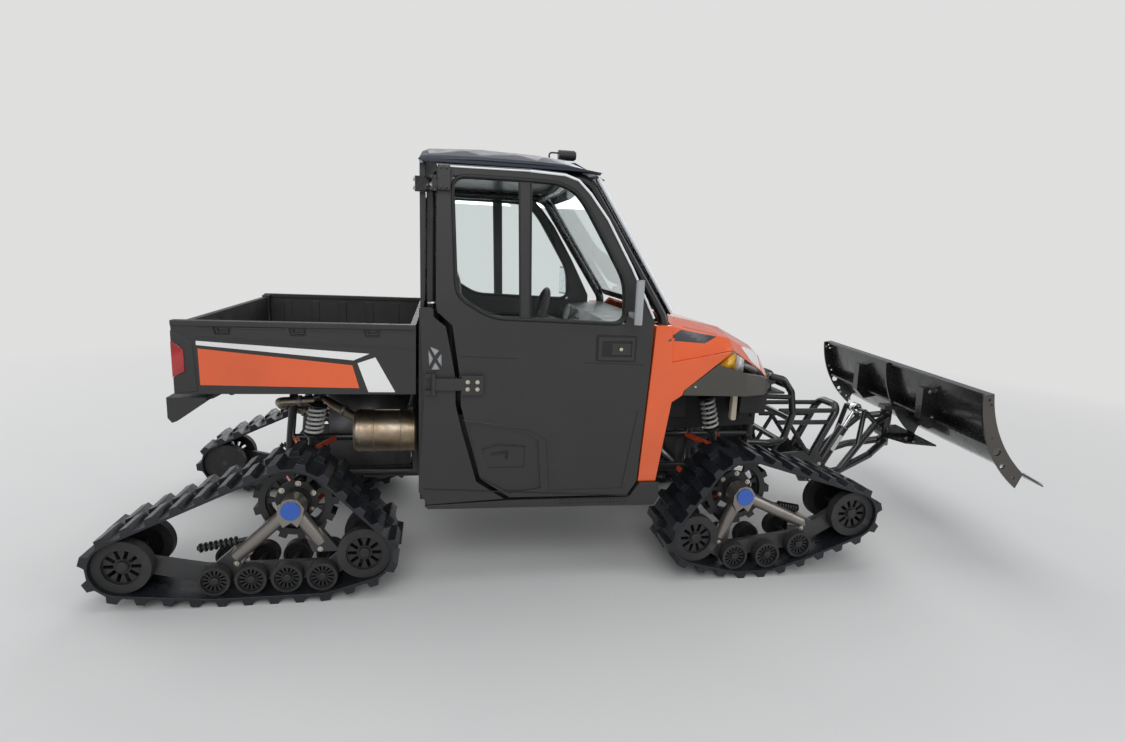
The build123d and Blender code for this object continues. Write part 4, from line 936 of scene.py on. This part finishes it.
def dress_front():
    """Hood films, fender liners, fascia bolts, radiator slats and the boxes of the front bay."""
    for s, hand in HANDS.items():
        film(f"hood_panel_{hand}", "root", [((1642, 1153), (1843, 1138), (1925, 1174), (1738, 1211))], s,
             ["hood", "side_cowls"], "decal_dark")
        film(f"hood_stripes_{hand}", "root", [((2077, 560), (2145, 549), (2226, 499), (2213, 412))], s,
             ["hood"], "white", down=True)
        liner = Piece(s)
        liner.prism(((1600, 480), (1650, 480), (1702, 862), (1762, 902), (1900, 1010), (1890, 1030),
                     (1740, 915), (1680, 868), (1628, 480)), 600, 659)
        liner.prism(((1700, 610), (2325, 640), (2325, 900), (2230, 960), (1985, 1060), (1700, 1080)),
                    300, 306)
        liner.make(f"fender_liner_{hand}", "root", "kick_strip", 0.001)
    bits = Piece()
    for _ in bits.sides():
        bits.bolt((1794, 702, 937), OUT, 6)
        for z in (785, 520):
            bits.bolt((2340, 241, z), OUT, 8)
    bits.make("fascia_bolts", "root", "zinc")
    slats = Piece()
    for z in range(452, 828, 15):
        slats.prism(((2352.3, z), (2360, z + 2), (2360, z + 5), (2352.3, z + 4)), -166, 166)
    for _ in slats.sides():
        slats.box(2352, 2364, 168, 174, 442, 838)
    slats.make("radiator_slats", "root", "cast")
    tanks = Piece()
    for _ in tanks.sides():
        tanks.prism(rounded(((2087, 716), (2117, 716), (2115, 872), (2089, 872)), 10), 470, 500)
    tanks.make("reservoirs", "root", "reservoir", 0.003)
    boxes = Piece()
    for _ in boxes.sides():
        boxes.prism(rounded(((2145, 745), (2290, 745), (2300, 868), (2150, 870)), 16), 330, 470)
        boxes.prism(rounded(((1745, 700), (1900, 690), (1905, 850), (1750, 868)), 20), 312, 350)
        boxes.rod((2180, 400, 700), (2180, 400, 748), 20)
        boxes.rod((2240, 430, 716), (2240, 430, 748), 14)
        boxes.rod((2085, 485, 872), (2125, 485, 872), 10)
    boxes.make("bay_boxes", "root", "kick_strip", 0.003)


WINCH_X, WINCH_Z = 2450, 878
ROPE_PITCH = 8.2
HOOK_Y = -40


def dress_winch():
    """Rope, hook, fairlead and end flanges of the winch."""
    rope = Piece()
    profile = []
    for k in range(22):
        profile += [(ROPE_PITCH * k, 33.5), (ROPE_PITCH * k + ROPE_PITCH / 2, 37.0)]
    rope.lathe((WINCH_X, -90, WINCH_Z), OUT, profile, 24)
    rope.tube([(2478, 0, 860), (2500, 0, 848), (2526, -10, 838)], 3.4, 8)
    rope.make("winch_rope", "root", "cable")
    hook = Piece()
    hook.tube([(x, HOOK_Y, z) for x, z in around(2520, 812, 20, 18, 100)[:15]], 6.5)
    hook.lathe((2516, HOOK_Y, 830), (0.1, 0, 1), ((0, 9), (14, 9), (20, 5)), 14)
    hook.make("winch_hook", "root", "red_hook")
    rollers = Piece()
    for y in (-70, 70):
        rollers.rod((2516, y, 822), (2516, y, 872), 9)
    for z in (824, 870):
        rollers.rod((2516, -64, z), (2516, 64, z), 8)
    for _ in rollers.sides():
        for y in range(112, 165, 13):
            rollers.lathe((WINCH_X, y, WINCH_Z), OUT, ((0, 45), (5, 45)), 28)
    rollers.box(2505, 2511, -92, 92, 811.3, 884)
    rollers.make("winch_fairlead", "root", "black_coat", 0.001)


# Top and foot of a shock: x, height
SHOCKS = (((55, 799.7), (15, 572)), ((1985, 839.7), (2050, 574)))
SHOCK_Y = 398
EXHAUST_CAN = (-400, 652)


def dress_shocks():
    """Dampers and coil springs of the suspension."""
    coils, dampers = Piece(), Piece()
    for top, foot in SHOCKS:
        for s in BOTH:
            a = Vector((foot[0], s * SHOCK_Y, foot[1]))
            b = Vector((top[0], s * SHOCK_Y, top[1]))
            axis = (b - a).normalized()
            run = (b - a).length
            seat = 0.24 * run
            dampers.lathe(a, axis, ((0, 17), (12, 19), (30, 19), (34, 24), (0.45 * run, 24),
                                    (0.46 * run, 15), (run - 30, 15)))
            dampers.lathe(a + axis * (run - 34), axis, ((0, 30), (6, 43), (12, 43), (14, 22), (30, 20)), 24)
            dampers.lathe(a + axis * seat, axis, ((0, 25), (3, 43), (9, 43), (12, 25)), 24)
            coils.helix(a + axis * (seat + 12), b - axis * 32,
                        radius=36, wire=6.6, turns=6.2, per_turn=20)
    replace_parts(dampers.make("shock_bodies", "root", "damper"), "shocks")
    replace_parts(coils.make("shock_springs", "root", "spring"), "shocks")


def dress_exhaust():
    """Bands round the silencer and clamps on the pipe."""
    bands = Piece()
    y, z = EXHAUST_CAN
    for x in (236, 300, 425, 488):
        bands.lathe((x, y, z), (1, 0, 0), ((0, 101), (1, 103), (9, 103), (10, 101)), 40)
    bands.box(300, 425, y - 4, y + 4, 750, 757)
    bands.make("silencer_bands", "root", "muffler")
    clamps = Piece()
    for base, axis in (((-60, -120, 673), (-0.96, 0, 0.28)), ((-150, -200, 731), (0, -0.93, 0.36)),
                       ((-60, -290, 769), (1, 0, 0.05)), ((150, -333, 736), (0.83, -0.4, -0.38))):
        clamps.lathe(base, axis, ((0, 25), (3, 28), (15, 28), (18, 25)))
    clamps.make("pipe_clamps", "root", "cast_light")


SPROCKET_Y, SPROCKET_BOLTS_R = 670, 76
CAP_FACE_Y, CAP_BOLTS_R, CAP_LINE_R = 780, 15, 79
LEG_Y = 733


def dress_tracks():
    """Sprocket bolts, wheel caps and leg bolts of the track units."""
    for end, hub_x in HUB_X.items():
        for s, hand in HANDS.items():
            body = "root" if end == "rear" else f"steer_{hand}"
            bolts, caps = Piece(s), Piece(s)
            for x, z in around(hub_x, HUB_Z, SPROCKET_BOLTS_R, 6, 24):
                bolts.bolt((x, SPROCKET_Y, z), OUT, 7.5)
            for x, z, r, _ in WHEELS[end]:
                idler = r == IDLER[0]
                cap_r = 25 if idler else 19
                caps.lathe((x, CAP_FACE_Y - 0.5, z), OUT, ((0, cap_r), (2.6, cap_r - 4), (3.4, cap_r - 9)))
                if idler:
                    for bolt_x, bolt_z in around(x, z, CAP_BOLTS_R, 5, 18):
                        bolts.bolt((bolt_x, CAP_FACE_Y, bolt_z), OUT, 2.2)
                    line = around(x, z, CAP_LINE_R, 36)
                    caps.tube([(line_x, CAP_FACE_Y + 1, line_z) for line_x, line_z in line], 2.6, 8, True)
            for foot_x, foot_z in LEG_FEET[end]:
                bolts.bolt((hub_x + foot_x, LEG_Y, foot_z - 30), OUT, 7)
            bolts.make(f"{end}_track_bolts_{hand}", body, "zinc")
            caps.make(f"{end}_wheel_caps_{hand}", body, "wheel", slot="wheel_black")


CYLINDER_FOOT = Vector((2930, 0, 245))
CYLINDER_WAY = Vector((230, 0, 410)).normalized()
CYLINDER_R = 32.4
BLADE_HALF, RIB_IN_Y = 913, 901.5


def dress_plough():
    """Cutting edge, bolts, pins, blank plate and the rings of the cylinder."""
    edge = Piece(turn=BLADE_TURN)
    edge.prism(((3596, 556), (3709, 500), (3711, 503.5), (3600, 560)), -BLADE_HALF, BLADE_HALF)
    edge.make("cutting_edge", "blade_body", "steel", 0.0006, "plough_black")
    bolts = Piece(turn=BLADE_TURN)
    for y in range(-810, 811, 270):
        bolts.bolt((3655, y, 530), (0.45, 0, 0.89), 8)
    for _ in bolts.sides():
        for x, z in ((3352, 905), (3390, 760), (3500, 560), (3580, 505)):
            bolts.bolt((x, RIB_IN_Y, z), (0, -1, 0), 6)
        for x, z in ((3385, 850), (3420, 700)):
            bolts.bolt((x, 410, z), OUT, 8)
        for y in (110, 190):
            bolts.bolt((3470, y, 488), (0, 0, 1), 9)
    bolts.make("blade_bolts", "blade_body", "zinc")
    pins = Piece()
    for _ in pins.sides():
        pins.bolt((2800, 175, 270), OUT, 13)
        for x, z in ((2600, 372), (2760, 300), (2880, 330)):
            pins.bolt((x, 112, z), OUT, 8)
    pins.make("plough_pins", "root", "zinc")
    plate = Piece()
    middle = CYLINDER_FOOT + CYLINDER_WAY * 220
    square = Vector((CYLINDER_WAY.z, 0, -CYLINDER_WAY.x))
    corners = [middle + CYLINDER_WAY * a + square * b for a, b in rect(-55, 55, -13, 13)]
    for _ in plate.sides():
        plate.prism([(p.x, p.z) for p in corners], CYLINDER_R, CYLINDER_R + 1.2)
    plate.make("blank_plate", "cylinder_barrel", "white")
    gland = Piece()
    for along, profile in ((322, ((0, 32.5), (3, 35), (8, 35), (10, 30))),
                           (30, ((0, 32.5), (3, 35), (14, 35), (16, 32.5)))):
        gland.lathe(CYLINDER_FOOT + CYLINDER_WAY * along, CYLINDER_WAY, profile, 28)
    gland.make("cylinder_gland", "cylinder_barrel", "cast_light", slot="cylinder")


# Seats
X, Y, Z = range(3)
SEAT_SPLIT, SEAT_GAP = 150.0, 4
PADS = (
    # name, node, x from and to, half width, z from and to, crowned axis, lean, seam across
    ("seat_pads", "seat_cushion", 656, 1124, 594, 784, 898, Z, 0.0, (X, 1010)),
    ("back_pads", "seat_back", 618, 716, 584, 912, 1424, X, -0.02, (Z, 1290)),
)
SEAMS = (-470, -345, -222, -100, 20, 270, 400, 480)
SEAM_DEPTH, SEAM_HALF = 7.0, 13.0
SEWN_FROM = {X: 640, Z: 830}
PAD_CUTS = 11
PAD_ROUND, PAD_PULL = 0.22, 0.035
AIR_CAP, AIR_FRAMES = 0.006, 12


def pad_mesh(name, boxes, crown, lean):
    """Closed pads in their boxes, crowned, with soft corners and sides that pull in."""
    made = bmesh.new()
    for x0, x1, y0, y1, z0, z1 in boxes:
        cx, cy, cz = (x0 + x1) / 2, (y0 + y1) / 2, (z0 + z1) / 2
        hx, hy, hz = (x1 - x0) / 2, (y1 - y0) / 2, (z1 - z0) / 2
        pad = bmesh.new()
        bmesh.ops.create_cube(pad, size=2.0)
        bmesh.ops.subdivide_edges(pad, edges=pad.edges[:], cuts=PAD_CUTS, use_grid_fill=True)
        for v in pad.verts:
            u, w, t = v.co
            long = max(abs(u), abs(w), abs(t))
            ball = v.co.length or 1.0
            u, w, t = [c * ((1 - PAD_ROUND) + PAD_ROUND * long / ball * 1.25) for c in (u, w, t)]
            if crown == Z:
                x = cx + hx * u * (1.0 - 0.03 * (1 - w * w))
                y = cy + hy * w * (1.0 - 0.02 * (1 - u * u))
                z = cz + hz * t * (1.0 if t < 0 else 0.80 + 0.20 * (1 - u * u) * (1 - w ** 4))
            else:
                x = cx + hx * u * (1.0 if u < 0 else 0.76 + 0.24 * (1 - w ** 4) * (1 - t ** 4))
                y = cy + hy * w * (1.0 - PAD_PULL * (1 - t * t))
                z = cz + hz * t
            v.co = place(x + lean * (z - z0), y, z)
        single = bpy.data.meshes.new("pad")
        pad.to_mesh(single)
        pad.free()
        made.from_mesh(single)
        bpy.data.meshes.remove(single)
    bmesh.ops.recalc_face_normals(made, faces=made.faces)
    return new_object(name, made, "vinyl")


def inflate(obj):
    """Fills a pad with air as cloth, and keeps each point within the cap of where it was."""
    before = [v.co.copy() for v in obj.data.vertices]
    cloth = obj.modifiers.new("cloth", "CLOTH")
    settings = cloth.settings
    settings.quality = 4
    settings.use_pressure = True
    settings.uniform_pressure_force = 3.0
    settings.effector_weights.gravity = 0.0
    settings.tension_stiffness = 40.0
    settings.bending_stiffness = 2.0
    cloth.point_cache.frame_end = 20
    for frame_number in range(1, AIR_FRAMES + 1):
        scene.frame_set(frame_number)
    shape = obj.evaluated_get(bpy.context.evaluated_depsgraph_get()).to_mesh()
    after = [v.co.copy() for v in shape.vertices]
    obj.modifiers.remove(cloth)
    scene.frame_set(1)
    for v, start, end in zip(obj.data.vertices, before, after):
        move = end - start
        if move.length > AIR_CAP:
            move = move.normalized() * AIR_CAP
        v.co = start + move


def sew(obj, lines, crown):
    """Presses a pad's crowned face in along lines of one x, y or z."""
    for v in obj.data.vertices:
        spot = ((v.co.x - REAR_AXLE_X) / MM, v.co.y / MM, v.co.z / MM)
        if spot[crown] > SEWN_FROM[crown]:
            for axis, at_value in lines:
                gap = abs(spot[axis] - at_value)
                if gap < SEAM_HALF:
                    v.co[crown] -= SEAM_DEPTH * (1 - (gap / SEAM_HALF) ** 2) * MM


def make_seats():
    """Bench cushions and backrests with sewn channels."""
    for name, node, x0, x1, half, z0, z1, crown, lean, across in PADS:
        spans = ((-half, SEAT_SPLIT - SEAT_GAP), (SEAT_SPLIT + SEAT_GAP, half))
        obj = pad_mesh(name, [(x0, x1, y0, y1, z0, z1) for y0, y1 in spans], crown, lean)
        inflate(obj)
        fine = obj.modifiers.new("fine", "SUBSURF")
        fine.levels = 2
        fine.render_levels = 2
        shape = bpy.data.meshes.new_from_object(obj.evaluated_get(bpy.context.evaluated_depsgraph_get()))
        obj.modifiers.clear()
        obj.data = shape
        sew(obj, [(Y, y) for y in SEAMS] + [across], crown)
        for polygon in obj.data.polygons:
            polygon.use_smooth = True
        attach(obj, "root")
        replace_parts(obj, node)


# Studio
BACKDROP = (0.74, 0.74, 0.735, 1.0)
FLOOR_HALF = 60.0
# Distance from the middle where the floor starts to turn into the backdrop and where it has
FADE = (2.6, 8.0)
LAMPS = (
    # name, place, aim, size, watts
    ("key", (-2.0, -8.0, 6.0), (0.0, 0.0, 0.9), 6.0, 330.0),
    ("fill", (8.0, -5.0, 3.5), (1.0, 0.0, 0.7), 5.0, 170.0),
    ("top", (0.0, 0.5, 8.0), (0.0, 0.0, 1.0), 7.0, 190.0),
    ("rear", (-8.0, 3.0, 4.0), (-0.5, 0.0, 0.8), 5.0, 150.0),
    ("left", (1.0, 8.0, 5.0), (0.0, 0.0, 0.9), 6.0, 230.0),
)


def make_floor():
    """Pale floor that runs into an even backdrop."""
    mesh = bpy.data.meshes.new("floor")
    corners = rect(-FLOOR_HALF, FLOOR_HALF, -FLOOR_HALF, FLOOR_HALF)
    mesh.from_pydata([(x, y, 0) for x, y in corners], [], [(0, 1, 2, 3)])
    floor = bpy.data.objects.new("floor", mesh)
    scene.collection.objects.link(floor)
    f = Finish("studio_floor", (0.62, 0.62, 0.61), 0.75, specular=0.2)
    f.tint(f.noise(1.5, 3.0), (0.60, 0.60, 0.595), 0.4, 0.7, 0.5)
    length = f.tree.nodes.new("ShaderNodeVectorMath")
    length.operation = "LENGTH"
    f.tree.links.new(f.place(), length.inputs[0])
    far = f.ramp(length.outputs["Value"], *FADE, 0.0, 1.0)
    pale = add_node(f.tree, "ShaderNodeEmission", Color=BACKDROP, Strength=1.0)
    seen = seen_by(f.tree, "Is Camera Ray", "Is Glossy Ray", "Is Transmission Ray")
    blend(f.tree, add_math(f.tree, "MULTIPLY", far, seen), f.shader, pale, "Material Output")
    mesh.materials.append(f.material)


def make_studio():
    """Floor, backdrop and soft lamps from above and both sides."""
    make_floor()
    world = bpy.data.worlds.new("studio")
    world.use_nodes = True
    scene.world = world
    tree = world.node_tree
    sky = tree.nodes["Background"]
    sky.inputs["Color"].default_value = (0.92, 0.95, 1.0, 1.0)
    sky.inputs["Strength"].default_value = 0.50
    backdrop = add_node(tree, "ShaderNodeBackground", Color=BACKDROP, Strength=1.0)
    blend(tree, seen_by(tree, "Is Camera Ray", "Is Transmission Ray"), sky, backdrop, "World Output")
    for name, start, aim, size, watts in LAMPS:
        data = bpy.data.lights.new(name, "AREA")
        data.size = size
        data.energy = watts
        lamp = bpy.data.objects.new(name, data)
        lamp.location = start
        lamp.rotation_euler = (Vector(aim) - Vector(start)).to_track_quat("-Z", "Y").to_euler()
        scene.collection.objects.link(lamp)
    scene.view_settings.view_transform = "Standard"


make_camera()
make_studio()
dress_frame()
dress_bed()
dress_doors()
dress_cab()
dress_dash()
dress_front()
dress_winch()
dress_shocks()
dress_exhaust()
dress_tracks()
dress_plough()
make_seats()
